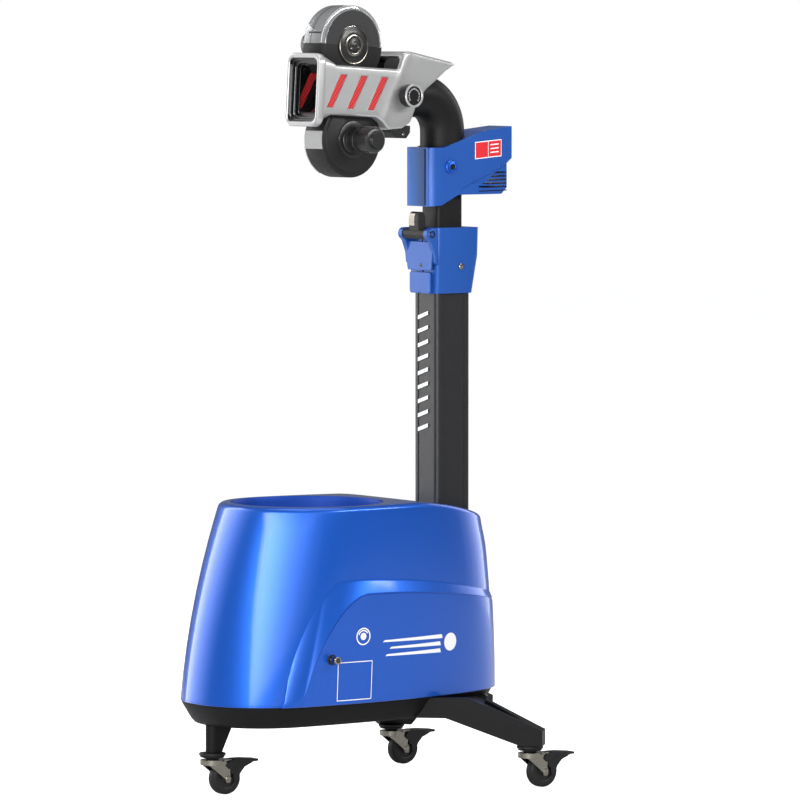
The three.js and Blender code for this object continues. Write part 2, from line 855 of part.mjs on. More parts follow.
function casterAt(prefix, x, y) {
  const c = caster;
  const pin = c.stemRadius;
  const low = c.forkTop - c.forkTopThickness;
  const unitGroup = new THREE.Group();
  unitGroup.position.set(x, y, 0);
  robot.add(unitGroup);
  const cap = [
    [0, low - clearance - c.pinHead],
    [pin + c.pinLip, low - clearance - c.pinHead],
    [pin + c.pinLip, low - clearance],
    [pin, low - clearance],
    [pin, c.forkTop + clearance],
    [c.capNeckRadius, c.forkTop + clearance],
    [c.capNeckRadius, c.height - 2 * c.capFlange],
    [c.capRadius, c.height - c.capFlange],
    [c.capRadius, c.height],
    [pin, c.height],
    [pin, c.height + c.stemLength],
    [0, c.height + c.stemLength],
  ];
  place(`${prefix}_caster_cap`, turned(cap, 'z', 0, 0, 0, facets.small), blackGloss, unitGroup);

  const inner = c.wheelWidth / 2 + c.wheelSpace;
  const outer = inner + c.forkWall;
  const back = -c.trail - c.forkBack;
  const lug = c.lugRadius;
  const cheek = [
    [c.forkFront, c.forkTop],
    [back, c.forkTop],
    [back, c.forkHeel],
    [-c.trail - lug, c.wheelRadius],
    [-c.trail - lug / 2, c.wheelRadius - lug],
    [-c.trail + lug / 2, c.wheelRadius - lug],
    [-c.trail + lug, c.wheelRadius],
    [c.forkFront, c.forkTop - c.forkSkirt],
  ];
  const skirtLow = c.forkTop - c.forkSkirt;
  const skirt = ring(c.forkRadius, c.forkRadius - c.forkWall, skirtLow, c.forkTop, 'z', 0, 0, 0, facets.medium);
  const plate = join(
    rod(c.forkRadius, low, c.forkTop, 'z', 0, 0, 0, facets.medium),
    block(back, 0, -outer, outer, low, c.forkTop),
    common(skirt, block(-c.lugRadius, c.height, -c.height, c.height, 0, c.height)),
  );
  const cheeks = join(sidePrism(cheek, inner, outer), sidePrism(cheek, -outer, -inner));
  const fork = cut(
    join(plate, cheeks),
    rod(pin + clearance, 0, c.height, 'z', 0, 0, 0, facets.small),
    rod(c.axleRadius, -c.height, c.height, 'y', -c.trail, 0, c.wheelRadius, facets.tiny),
    rod(c.pivotRadius + clearance, -c.height, c.height, 'y', -c.pivotX, 0, c.pivotZ, facets.tiny),
  );
  place(`${prefix}_caster_fork`, fork, nickel, unitGroup);

  const rivetEnd = outer + c.rivetThickness;
  const axle = [
    [0, -rivetEnd],
    [c.rivetRadius, -rivetEnd],
    [c.rivetRadius, -outer],
    [c.axleRadius, -outer],
    [c.axleRadius, outer],
    [c.rivetRadius, outer],
    [c.rivetRadius, rivetEnd],
    [0, rivetEnd],
  ];
  place(`${prefix}_caster_axle`, turned(axle, 'y', -c.trail, 0, c.wheelRadius, facets.tiny), nickel, unitGroup);

  const sides = facets.medium;
  const grow = 1 / Math.cos(Math.PI / sides);
  const half = c.wheelWidth / 2;
  const tread = c.wheelRadius * grow;
  const wheelProfile = [
    [c.axleRadius + clearance, -half],
    [c.hubRadius / 2, -half],
    [c.hubRadius, -half + c.hubDish],
    [c.hubRadius + c.hubDish, -half],
    [tread - c.tyreRound, -half],
    [tread, -half + c.tyreRound],
    [tread, half - c.tyreRound],
    [tread - c.tyreRound, half],
    [c.hubRadius + c.hubDish, half],
    [c.hubRadius, half - c.hubDish],
    [c.hubRadius / 2, half],
    [c.axleRadius + clearance, half],
    [c.axleRadius + clearance, -half],
  ];
  const wheel = turned(wheelProfile, 'y', 0, 0, 0, sides).rotate([0, 180 / sides, 0]);
  const wheelPlaced = wheel.translate([-c.trail, 0, c.wheelRadius]);
  place(`${prefix}_caster_wheel`, wheelPlaced, rubber, unitGroup);

  const lugInner = outer + clearance;
  const lugOuter = lugInner + c.pedalWall;
  const side = [
    [-c.pedalRoot, c.pedalTop + c.pedalRise],
    [-c.pedalRoot, c.pedalLow],
    [-c.pivotX - c.eyeRadius, c.pivotZ - c.eyeRadius / 2],
    [-c.pivotX, c.pivotZ - c.eyeRadius],
    [-c.pivotX + c.eyeRadius, c.pivotZ],
    [-c.pivotX + c.eyeRadius / 2, c.pivotZ + c.eyeRadius],
    [-c.pivotX, c.pedalTop],
  ];
  const body = sidePrism(
    [
      [-c.pedalRoot, c.pedalLow],
      [-c.pedalRoot, c.pedalTop + c.pedalRise],
      [-c.pedalShoulder, c.pedalTop + c.pedalRise],
      [-c.pedalReach, c.pedalTop],
      [-c.pedalReach, c.pedalTop - c.pedalThickness],
      [-c.pedalShoulder, c.pedalTop - c.pedalThickness],
    ].reverse(),
    -lugOuter,
    lugOuter,
  );
  const pedalPlan = planPrism(
    [
      [-c.pedalRoot + overrun, -lugOuter],
      [-c.pedalRoot + overrun, lugOuter],
      [-c.pedalShoulder, lugOuter],
      [-c.pedalReach, lugOuter * c.pedalTipShare],
      [-c.pedalReach, -lugOuter * c.pedalTipShare],
      [-c.pedalShoulder, -lugOuter],
    ],
    0,
    c.height,
  );
  const stub = rod(c.pivotRadius, inner, lugOuter, 'y', -c.pivotX, 0, c.pivotZ, facets.tiny);
  const pedal = join(
    common(body, pedalPlan),
    sidePrism(side, lugInner, lugOuter),
    sidePrism(side, -lugOuter, -lugInner),
    stub,
    stub.mirror([0, 1, 0]),
  );
  place(`${prefix}_caster_pedal`, pedal, blackSatin, unitGroup);
}

place('rear_left_arm', rearArm(1), blackSatin);
place('rear_right_arm', rearArm(-1), blackSatin);
casterAt('front', frontCasterX, 0);
casterAt('rear_left', rearCasterX, rearCasterY);
casterAt('rear_right', rearCasterX, -rearCasterY);

// Hopper bowl, pick-up wheel, feed motor, feed tube and control unit

const exitX = opening.x - pickup.pocketCircle;
const ballRadius = ballBore / 2;
const ceiling = tub.rim - tub.wall - clearance;

function bowlBody() {
  const b = bowl;
  const outer = openingRadius + b.flange;
  const shoulderRadius = openingRadius - b.shoulderInset;
  const step = (radius, z) => [radius, z];
  const profile = [
    step(shaftRadius + runningGap, b.wellFloor - b.wall),
    step(b.wellRadius + b.wall, b.wellFloor - b.wall),
    step(b.wellRadius + b.wall, b.floor - b.wall),
    step(b.floorRadius + b.wall, b.floor - b.wall),
    step(shoulderRadius + b.wall, b.shoulder),
    step(openingRadius, ceiling - b.flangeThickness),
    step(outer, ceiling - b.flangeThickness),
    step(outer, ceiling),
    step(openingRadius - b.wall, ceiling),
    step(openingRadius - b.wall, ceiling - b.flangeThickness),
    step(shoulderRadius, b.shoulder),
    step(b.floorRadius, b.floor),
    step(b.wellRadius, b.floor),
    step(b.wellRadius, b.wellFloor),
    step(shaftRadius + runningGap, b.wellFloor),
    step(shaftRadius + runningGap, b.wellFloor - b.wall),
  ];
  return turned(profile, 'z', opening.x, 0, 0, facets.large);
}

const exitBore = rod(ballRadius, bowl.wellFloor - overrun, bowl.floor - runningGap, 'z', exitX, 0, 0, facets.medium);
place('hopper_bowl', cut(bowlBody(), exitBore), blueGloss);

const discLow = bowl.wellFloor + clearance;
let disc = join(
  rod(pickup.radius, discLow, discLow + pickup.thickness, 'z', opening.x, 0, 0, facets.large),
  rod(pickup.hubRadius, discLow, discLow + pickup.thickness + pickup.hubHeight, 'z', opening.x, 0, 0, facets.small),
);
for (let i = 0; i < pickup.pockets; i += 1) {
  const angle = Math.PI + (i / pickup.pockets) * 2 * Math.PI;
  const px = opening.x + pickup.pocketCircle * Math.cos(angle);
  const py = pickup.pocketCircle * Math.sin(angle);
  disc = cut(disc, rod(ballRadius, 0, discLow + 2 * pickup.thickness, 'z', px, py, 0, facets.small));
}
const shaftTop = discLow + pickup.thickness;
disc = cut(disc, rod(shaftRadius + clearance, 0, shaftTop, 'z', opening.x, 0, 0, facets.tiny));
place('pickup_wheel', disc, whitePlastic);

const motorTop = bowl.wellFloor - bowl.wall;
const motorFoot = feedMotor.base + feedMotor.footThickness;
const feedDrive = join(
  block(opening.x - feedMotor.radius, opening.x + feedMotor.footHalf, -feedMotor.footHalf, feedMotor.footHalf, feedMotor.base, motorFoot),
  rod(feedMotor.radius, feedMotor.base, motorTop, 'z', opening.x, 0, 0, facets.medium),
  rod(shaftRadius, motorTop - overrun, shaftTop - runningGap, 'z', opening.x, 0, 0, facets.tiny),
);
place('feed_motor', feedDrive, motorMetal);

function feedPipe(radius, past) {
  const quarter = Math.PI / 2;
  const bendX = exitX - feedTube.bend;
  const bendZ = feedTube.level + feedTube.bend;
  const path = [
    [feedTube.start - past, feedTube.level, quarter],
    ...bendPath(bendX, bendZ, -feedTube.bend, quarter, 0),
    [exitX, motorTop + past, 0],
  ];
  return bentPipe(radius, path, facets.medium);
}

place('feed_tube', cut(feedPipe(feedTube.outer, 0), feedPipe(ballRadius, overrun)), smoke);

const unitFront = controlUnit.rear + controlUnit.length;
const unitTop = feedMotor.base + controlUnit.height;
let control = block(controlUnit.rear, unitFront, -controlUnit.halfWidth, controlUnit.halfWidth, feedMotor.base, unitTop);
const ribPitch = controlUnit.length / controlUnit.ribs;
const ribLeadShare = 0.25;
for (let i = 0; i < controlUnit.ribs; i += 1) {
  const from = controlUnit.rear + (i + ribLeadShare) * ribPitch;
  const groove = [from, from + ribPitch / 2, -tub.lowHalf, tub.lowHalf, unitTop - controlUnit.ribDepth, unitTop + overrun];
  control = cut(control, block(...groove));
}
place('control_unit', control, anodised);

// Mast foot, lower and upper mast and the guide bush

const lowerHalf = mast.size / 2;
const upperHalf = upperMast.size / 2;
const feedEntry = feedPipe(feedTube.outer + clearance, mast.size);
const footBody = squarePost(foot.half, foot.corner, feedMotor.base, feedMotor.base + foot.height);
const footPocket = squarePost(lowerHalf + clearance, mast.corner, mast.base, tub.rim);
place('mast_foot', cut(footBody, footPocket, feedEntry), anodised);

const lowerBore = squarePost(lowerHalf - mast.wall, mast.corner - mast.wall, 0, mast.top + overrun);
const entryBore = rod(ballRadius, 0, mast.size, 'x', 0, 0, feedTube.level, facets.medium);
let lowerTube = cut(squarePost(lowerHalf, mast.corner, mast.base, mast.top), lowerBore, entryBore);
const channelFloor = lowerHalf - mast.channelDepth;
const channelCut = [channelFloor, mast.size, -mast.channelHalf, mast.channelHalf, 0, mast.top + overrun];
for (const turn of [0, 90, 180, 270]) lowerTube = cut(lowerTube, block(...channelCut).rotate([0, 0, turn]));
place('lower_mast', lowerTube, blackSatin);

const upperBore = squarePost(upperHalf - upperMast.wall, upperMast.corner - upperMast.wall, 0, upperMast.top + overrun);
const upperFit = squarePost(upperHalf + clearance, upperMast.corner, 0, upperMast.top);
place('upper_mast', cut(squarePost(upperHalf, upperMast.corner, upperMast.base, upperMast.top), upperBore), anodised);

const bushHalf = lowerHalf - mast.wall - clearance;
const bushBody = squarePost(bushHalf, mast.corner - mast.wall, mast.top - bushHeight, mast.top);
place('mast_bush', cut(bushBody, upperFit), blackMatt);

// Clamp collar, pin and lever

const collarBody = stacked([
  plateRing(collar.lowHalf, -collar.lowHalf, collar.lowHalf, collar.corner, collar.bottom),
  plateRing(collar.topFront, -collar.topRear, collar.waistHalf, collar.corner, collar.waist),
  plateRing(collar.topFront, -collar.topRear, collar.topHalf, collar.corner, collar.top),
]);
const ear = (from, to) =>
  join(
    rod(collar.earRadius, from, to, 'y', collar.earX, 0, collar.earZ, facets.medium),
    block(lowerHalf, collar.earX, from, to, collar.earZ - collar.earRadius, collar.earZ + collar.earRadius),
  );
const tabFront = collar.topFront + collar.tabDepth;
const collarSolid = cut(
  join(
    collarBody,
    ear(collar.earInner, collar.earOuter),
    ear(-collar.earOuter, -collar.earInner),
    block(lowerHalf, tabFront, -collar.tabHalf, collar.tabHalf, collar.bottom, collar.bottom + collar.tabHeight),
  ),
  squarePost(lowerHalf + clearance, mast.corner, 0, mast.top + clearance),
  upperFit,
  block(upperHalf - overrun, mast.size, -collar.slitHalf, collar.slitHalf, 0, 2 * collar.top),
  rod(lever.pinRadius + clearance, -collar.topHalf, collar.topHalf, 'y', collar.earX, 0, collar.earZ, facets.tiny),
);
place('clamp_collar', collarSolid, blueSatin);

const pinEnd = collar.earOuter + lever.headLength;
const pinProfile = [
  [0, -pinEnd],
  [lever.headRadius, -pinEnd],
  [lever.headRadius, -collar.earOuter],
  [lever.pinRadius, -collar.earOuter],
  [lever.pinRadius, collar.earOuter],
  [lever.headRadius, collar.earOuter],
  [lever.headRadius, pinEnd],
  [0, pinEnd],
];
place('clamp_pin', turned(pinProfile, 'y', collar.earX, 0, collar.earZ, facets.small), nickel);

const barrelHalf = collar.earInner - clearance;
const blade = sidePrism(
  [
    [collar.earX - lever.thickness, collar.earZ],
    [collar.earX + lever.thickness, collar.earZ],
    [collar.earX + lever.thickness + lever.pinRadius, (collar.earZ + lever.tipZ) / 2],
    [collar.earX + lever.thickness, lever.tipZ],
    [collar.earX, lever.tipZ],
    [collar.earX + lever.pinRadius, (collar.earZ + lever.tipZ) / 2],
  ],
  -lever.half,
  lever.half,
);
const barrel = rod(lever.barrelRadius, -barrelHalf, barrelHalf, 'y', collar.earX, 0, collar.earZ, facets.medium);
const leverBore = rod(lever.pinRadius + clearance, -mast.size, mast.size, 'y', collar.earX, 0, collar.earZ, facets.tiny);
place('clamp_lever', cut(join(blade, barrel), leverBore), blackGloss);

// Swing bracket, its vented cover, the hub on the mast's top and the swing motor

const k = bracket;
const bracketOutline = [
  [k.kneeX, k.kneeZ],
  [k.front, k.frontBottom],
  [k.front, k.frontTop],
  [k.riseX, k.frontTop],
  [k.crestX, k.crestTop],
  [k.rear, k.rearTop],
  [k.rear, k.stepTop],
  [k.stepX, k.stepBottom],
  [k.stepX, k.boxRear],
  [k.boxX, k.boxBottom],
  [k.breakX, k.boxBottom],
];

function bracketPlan(inset) {
  const half = k.halfWidth - inset;
  const corner = k.corner - inset;
  const steps = 4;
  const round = [];
  for (let i = -steps; i <= steps; i += 1) {
    const angle = (i / steps) * Math.PI / 2;
    const y = half * Math.sign(i) - corner * Math.sign(i) + corner * Math.sin(angle);
    if (i !== 0) round.push([k.front - inset - corner + corner * Math.cos(angle), y]);
  }
  return planPrism(
    [
      [k.rear + inset, -k.rearHalf + inset],
      [k.riseX - mast.size, -half],
      ...round,
      [k.riseX - mast.size, half],
      [k.rear + inset, k.rearHalf - inset],
    ],
    k.frontBottom - overrun,
    k.rearTop + overrun,
  );
}

const bracketShell = cut(
  common(sidePrism(bracketOutline, -k.halfWidth, k.halfWidth), bracketPlan(0)),
  common(sidePrism(drawnIn(bracketOutline, k.wall), -k.halfWidth, k.halfWidth), bracketPlan(k.wall)),
);
const bossBar = (y0, y1, radius, sides) => rod(radius, y0, y1, 'y', k.bossX, 0, k.bossZ, sides);
const bossFace = k.halfWidth + k.bossLength;
const bosses = cut(
  join(
    bossBar(k.halfWidth - k.wall, bossFace, k.bossRadius, facets.medium),
    bossBar(-bossFace, -k.halfWidth + k.wall, k.bossRadius, facets.medium),
  ),
  bossBar(k.halfWidth, bossFace + overrun, k.bossHex, 6),
  bossBar(-bossFace - overrun, -k.halfWidth, k.bossHex, 6),
);
const seamSlope = (k.seamHigh - k.seamLow) / (k.stepX - k.seamX);
const seamLine = (x, gap) => k.seamLow + gap + (x - k.seamX) * seamSlope;
const coverZone = (gap) =>
  sidePrism(
    [
      [k.rear, k.frontBottom],
      [k.seamX + gap, k.frontBottom],
      [k.seamX + gap, seamLine(k.seamX, gap)],
      [k.rear, seamLine(k.rear, gap)],
    ],
    -mast.size,
    mast.size,
  );
let swingCover = common(bracketShell, coverZone(0));
for (let i = 0; i < vent.count; i += 1) {
  const level = vent.top - i * vent.pitch;
  const front = vent.front + i * vent.step;
  const gap = [vent.rear, front, -mast.size, mast.size, level - vent.halfHeight, level + vent.halfHeight];
  swingCover = cut(swingCover, block(...gap));
}
const pipeOpening = rod(pipe.radius + clearance, hub.top, k.rearTop + mast.size, 'z', 0, 0, 0, facets.large);
const mastOpening = squarePost(upperHalf + clearance, upperMast.corner, 0, upperMast.top);
place('swing_bracket', cut(join(cut(bracketShell, coverZone(clearance)), bosses), pipeOpening, mastOpening), blueSatin);
place('swing_cover', cut(swingCover, mastOpening), blueSatin);

const innerOutline = drawnIn(bracketOutline, k.wall + hub.wallGap);
const hubBlock = common(
  sidePrism(innerOutline, -k.halfWidth, k.halfWidth),
  bracketPlan(k.wall + hub.wallGap),
  block(hub.rear, mast.size, -mast.size, mast.size, 0, hub.top),
);
const spigotRadius = pipe.radius - pipe.wall - 2 * clearance;
const hubBody = cut(
  join(hubBlock, rod(spigotRadius, hub.top - overrun, hub.spigot, 'z', 0, 0, 0, facets.large)),
  squarePost(upperHalf + clearance, upperMast.corner, 0, upperMast.top + clearance),
  rod(ballRadius, 0, hub.spigot + overrun, 'z', 0, 0, 0, facets.medium),
);
place('swing_hub', hubBody, blackMatt);

const m = swingMotor;
const swingDrive = join(
  rod(m.radius, m.bottom, m.top - overrun, 'z', m.x, 0, 0, facets.medium),
  rod(m.gearRadius, m.bottom, m.top, 'z', m.x, 0, 0, facets.small),
  block(m.x, hub.rear, -m.plateHalf, m.plateHalf, m.bottom, m.plateTop),
);
place('swing_motor', swingDrive, motorMetal);

// Elbow pipe, neck and head turn together about the mast's axis

const swinging = new THREE.Group();
swinging.rotation.z = headYaw;
robot.add(swinging);

function elbow(radius, past) {
  const path = [
    [0, hub.top + clearance - past, 0],
    ...bendPath(pipe.bend, pipe.level - pipe.bend, pipe.bend, 0, Math.PI / 2),
    [pipe.reach + past, pipe.level, Math.PI / 2],
  ];
  return bentPipe(radius, path, facets.medium);
}

place('elbow_pipe', cut(elbow(pipe.radius, 0), elbow(pipe.radius - pipe.wall, overrun)), blackSatin, swinging);

const alongPipe = (radius, from, to) => rod(radius, from, to, 'x', 0, 0, pipe.level, facets.medium);
const neckFront = neck.pivotX + neck.front;
const neckBody = cut(
  join(
    alongPipe(spigotRadius, pipe.reach - neck.plug, pipe.reach + overrun),
    alongPipe(pipe.radius, pipe.reach + clearance, pipe.reach + neck.flange),
    block(pipe.reach + clearance, neck.pivotX, -neck.radius, neck.radius, pipe.level - neck.radius, pipe.level + neck.radius),
    rod(neck.radius, -neck.halfWidth, neck.halfWidth, 'y', neck.pivotX, 0, pipe.level, facets.medium),
  ),
  alongPipe(ballRadius, 0, neckFront + mast.size),
  rod(knob.shaft + clearance, -neck.halfWidth - overrun, neck.halfWidth + overrun, 'y', neck.pivotX, 0, pipe.level, facets.small),
);
place('head_neck', neckBody, blackMatt, swinging);

const headGroup = new THREE.Group();
headGroup.position.set(neck.pivotX, 0, pipe.level);
headGroup.rotation.y = headPitch;
swinging.add(headGroup);

const across = (radius, from, to, x, z, sides) => rod(radius, from, to, 'y', x, 0, z, sides);

function slotOutline(x, spare) {
  const half = slot.half - spare;
  const top = slot.height - spare;
  const lean = (slot.lean * top) / slot.height;
  return [
    [x + lean - half, -top],
    [x + lean + half, -top],
    [x - lean + half, top],
    [x - lean - half, top],
  ];
}

const slotPlaces = Array.from({ length: slot.count }, (_, i) => slot.firstX - i * slot.pitch);

function headShell() {
  const body = sidePrism(headOutline, -head.half, head.half, head.bevel);
  const hollow = sidePrism(drawnIn(headOutline, head.wall), -head.half + head.wall, head.half - head.wall);
  const inside = head.half - head.wall;
  const mouthHalf = mouthFrame.halfWidth - mouthFrame.rim;
  const mouthTall = mouthFrame.halfHeight - mouthFrame.rim;
  const drumEdge = wheels.half + clearance;
  const drumCut = (radius, x, z) => across(radius + clearance, -drumEdge, drumEdge, x, z, facets.large);
  const tools = [
    block(head.mouth - 2 * head.wall, head.mouth + overrun, -mouthHalf, mouthHalf, -mouthTall + head.wall, mouthTall - head.wall),
    block(recess.rear, recess.front, -recess.half, recess.half, 0, recess.roof),
    block(-2 * neck.pivotX, pipeWindow.front, -inside, inside, pipeWindow.low, pipeWindow.roof),
    drumCut(wheels.upperDrum, wheels.upperX, wheels.z),
    drumCut(wheels.lowerDrum, wheels.lowerX, -wheels.z),
    across(knob.shaft + clearance, -mast.size, mast.size, 0, 0, facets.small),
  ];
  for (const x of slotPlaces) tools.push(sidePrism(slotOutline(x, 0), -mast.size, mast.size));
  return cut(body, hollow, ...tools);
}

const shell = headShell();
const half = (from, to) => block(-2 * neck.pivotX, 2 * neck.pivotX, from, to, -neck.pivotX, neck.pivotX);
place('head_shell_left', common(shell, half(head.seam, mast.size)), silver, headGroup);
place('head_shell_right', common(shell, half(-mast.size, -head.seam)), silver, headGroup);

function slotInsert(side) {
  const face = head.half - head.wall - clearance;
  const lastX = slotPlaces[slot.count - 1];
  const reach = slot.lean + slot.half + slot.margin;
  const tall = slot.height + slot.margin;
  let insert = block(lastX - reach, slot.firstX + slot.lean, face - slot.film, face, -tall, tall);
  for (const x of slotPlaces) insert = join(insert, sidePrism(slotOutline(x, clearance), face - slot.film, head.half - slot.film / 2));
  return side > 0 ? insert : insert.mirror([0, 1, 0]);
}

place('left_slot_insert', slotInsert(1), redFilm, headGroup);
place('right_slot_insert', slotInsert(-1), redFilm, headGroup);

function mouthPlate(halfY, halfZ, corner, fromX, toX) {
  return frontPrism(roundedRectangle(halfY, halfZ, corner), fromX, toX);
}

const f = mouthFrame;
const mouthEnd = head.mouth + f.depth;
const linerWide = f.halfWidth - f.rim - clearance;
const linerTall = f.halfHeight - f.rim - clearance;
const frame = cut(
  mouthPlate(f.halfWidth, f.halfHeight, f.corner, head.mouth + clearance, mouthEnd),
  mouthPlate(f.halfWidth - f.rim, f.halfHeight - f.rim, f.corner - f.rim, head.mouth, mouthEnd + overrun),
);
place('mouth_frame', frame, silver, headGroup);
const linerBody = cut(
  join(
    mouthPlate(linerWide, linerTall, f.corner - f.rim, head.mouth + clearance, head.mouth + liner.step),
    mouthPlate(linerWide, liner.throatHalf, f.rim, liner.start, head.mouth + liner.step),
  ),
  mouthPlate(linerWide - liner.wall, liner.throatHalf - liner.wall, f.rim, liner.start + liner.wall, mouthEnd),
  mouthPlate(liner.windowHalf, liner.windowTall, f.rim, liner.start - overrun, mouthEnd),
);
place('mouth_liner', linerBody, blackGloss, headGroup);

// Wheel housings, rollers and motors, above and below the ball's path

function drumShell(radius, x, z) {
  const w = wheels;
  const outer = join(
    across(radius, -w.half + w.faceStep, w.half - w.faceStep, x, z, facets.large),
    across(radius - w.faceRim, -w.half, w.half, x, z, facets.large),
  );
  const inner = across(radius - w.wall, -w.half + 2 * w.wall, w.half - 2 * w.wall, x, z, facets.large);
  return cut(outer, inner, across(w.pilot, -mast.size, mast.size, x, z, facets.small));
}

const beyond = 2 * mast.size;
const zBlock = (fromZ, toZ) => block(-beyond, 2 * beyond, -mast.size, mast.size, fromZ, toZ);
const upperDrum = drumShell(wheels.upperDrum, wheels.upperX, wheels.z);
const lowerDrum = drumShell(wheels.lowerDrum, wheels.lowerX, -wheels.z);
const topDrum = 2 * wheels.z;
place('upper_wheel_cover', common(upperDrum, zBlock(wheels.z + clearance, topDrum)), smoke, headGroup);
place('upper_wheel_housing', common(upperDrum, zBlock(wheels.mouthZ, wheels.z)), blackSatin, headGroup);
place('lower_wheel_housing', common(lowerDrum, zBlock(-topDrum, -wheels.mouthZ)), blackSatin, headGroup);

const stations = [
  ['upper', wheels.upperX, wheels.z, -1],
  ['lower', wheels.lowerX, -wheels.z, 1],
];
for (const [prefix, x, z, side] of stations) {
  const w = wheels;
  const rollerProfile = [
    [w.shaft + clearance, -w.rollerHalf],
    [w.roller - w.groove, -w.rollerHalf],
    [w.roller, -w.rollerHalf + w.groove],
    [w.roller - w.groove, 0],
    [w.roller, w.rollerHalf - w.groove],
    [w.roller - w.groove, w.rollerHalf],
    [w.shaft + clearance, w.rollerHalf],
    [w.shaft + clearance, -w.rollerHalf],
  ];
  place(`${prefix}_throw_wheel`, turned(rollerProfile, 'y', x, 0, z, facets.large), rubber, headGroup);
  const plateEnd = w.half + w.plateThickness;
  const motorEnd = w.half + w.motorLength;
  const motorProfile = [
    [0, -plateEnd - w.capLength],
    [w.cap, -plateEnd - w.capLength],
    [w.cap, -plateEnd],
    [w.plate, -plateEnd],
    [w.plate, -w.half],
    [w.shaft, -w.half],
    [w.shaft, w.half],
    [w.plate, w.half],
    [w.plate, plateEnd],
    [w.motor, plateEnd],
    [w.motor, motorEnd],
    [w.cap, motorEnd],
    [w.cap, motorEnd + w.capLength],
    [0, motorEnd + w.capLength],
  ];
  const motor = turned(motorProfile.map(([radius, place]) => [radius, place * side]), 'y', x, 0, z, facets.medium);
  place(`${prefix}_wheel_motor`, motor, anodised, headGroup);
}

// Ball channel, rear under-cover, tilt knob and pivot pin

const ch = channel;
const channelBody = cut(
  join(
    rod(ch.outer, ch.rear, ch.front, 'x', 0, 0, 0, facets.medium),
    block(ch.plateRear, ch.plateFront, -ch.plateHalf, ch.plateHalf, -ch.plateHeight, ch.plateHeight),
  ),
  rod(ballRadius, 0, ch.front + overrun, 'x', 0, 0, 0, facets.medium),
);
place('ball_channel', channelBody, blackMatt, headGroup);

const coverInside = head.half - head.wall - clearance;
const shellGrown = sidePrism(drawnIn(headOutline, -clearance), -mast.size, mast.size);
const lowerDrumSpace = across(wheels.lowerDrum + clearance, -mast.size, mast.size, wheels.lowerX, -wheels.z, facets.large);
const u = underCover;
const underOutline = [
  [u.front, -u.topDepth],
  [u.front, -u.sideDepth],
  [u.frontLow, -u.lowDepth],
  [u.rearLow, -u.lowDepth],
  [u.rear, -u.sideDepth],
  [u.rear, -u.topDepth],
];
const underBody = sidePrism(underOutline, -coverInside, coverInside);
place('rear_under_cover', cut(underBody, shellGrown, lowerDrumSpace), blackSatin, headGroup);

const t = knob;
const tiltProfile = [
  [0, t.tip],
  [t.shaft, t.tip],
  [t.shaft, head.half + clearance],
  [t.neck, head.half + clearance],
  [t.neck + t.rim, t.start],
  [t.radius, t.start + t.rim],
  [t.radius, t.end - t.rim],
  [t.radius - t.rim, t.end],
  [t.radius - 2 * t.rim, t.end - t.dish],
  [0, t.end - t.dish],
];
place('tilt_knob', turned(tiltProfile, 'y', 0, 0, 0, facets.medium), silver, headGroup);
const pivotFace = head.half + clearance;
const pivotProfile = [
  [0, -pivotFace - pivotHead.thickness],
  [pivotHead.radius, -pivotFace - pivotHead.thickness],
  [pivotHead.radius, -pivotFace],
  [t.shaft, -pivotFace],
  [t.shaft, -t.tip],
  [0, -t.tip],
];
place('tilt_pivot', turned(pivotProfile, 'y', 0, 0, 0, facets.small), nickel, headGroup);

// Origin under the middle of the whole robot
const shift = new THREE.Group();
robot.updateMatrixWorld(true);
const box = new THREE.Box3().setFromObject(robot, true);
robot.position.set(-(box.min.x + box.max.x) / 2, -(box.min.y + box.max.y) / 2, -box.min.z);
shift.add(robot);

export default shift;
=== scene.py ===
import math

import bmesh
import bpy
from bpy.props import FloatProperty, FloatVectorProperty, IntProperty, PointerProperty
from mathutils import Matrix, Quaternion, Vector


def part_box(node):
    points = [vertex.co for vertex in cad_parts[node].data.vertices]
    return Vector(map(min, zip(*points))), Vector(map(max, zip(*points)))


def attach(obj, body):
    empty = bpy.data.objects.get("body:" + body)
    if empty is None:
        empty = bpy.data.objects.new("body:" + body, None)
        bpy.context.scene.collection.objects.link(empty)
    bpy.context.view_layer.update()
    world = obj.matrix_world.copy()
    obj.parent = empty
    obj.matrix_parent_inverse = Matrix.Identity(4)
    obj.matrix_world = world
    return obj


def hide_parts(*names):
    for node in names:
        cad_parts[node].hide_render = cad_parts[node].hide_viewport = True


bl_info = {
    "name": "Table tennis robot",
    "version": (1, 0, 0),
    "blender": (4, 5, 0),
    "location": "3D View > Sidebar > Robot",
    "description": "Dresses the packed table tennis robot and sets up its studio",
    "category": "Object",
}

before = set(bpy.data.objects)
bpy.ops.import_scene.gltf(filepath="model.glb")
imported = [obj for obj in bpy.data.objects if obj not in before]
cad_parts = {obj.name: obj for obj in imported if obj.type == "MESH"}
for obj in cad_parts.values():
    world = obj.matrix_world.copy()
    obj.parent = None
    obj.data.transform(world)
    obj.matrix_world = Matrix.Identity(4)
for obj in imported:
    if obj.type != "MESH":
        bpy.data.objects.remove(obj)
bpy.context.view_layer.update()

MM = 0.001


def middle(node):
    """Centre of a CAD node's box."""
    low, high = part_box(node)
    return (low + high) / 2


MAST = Vector((middle("lower_mast").x, 0, 0))
YAW = math.radians(7.3)
PITCH = math.radians(-3.5)
SWING = Matrix.Translation(MAST) @ Matrix.Rotation(YAW, 4, "Z")
TILT_AXIS = (110 * MM, 0, 1074 * MM)
HEAD = SWING @ Matrix.Translation(TILT_AXIS) @ Matrix.Rotation(PITCH, 4, "Y")
BASE = Matrix.Translation(MAST)
SIDES = (("left", 1), ("right", -1))


# Sizes and colours that a user would change


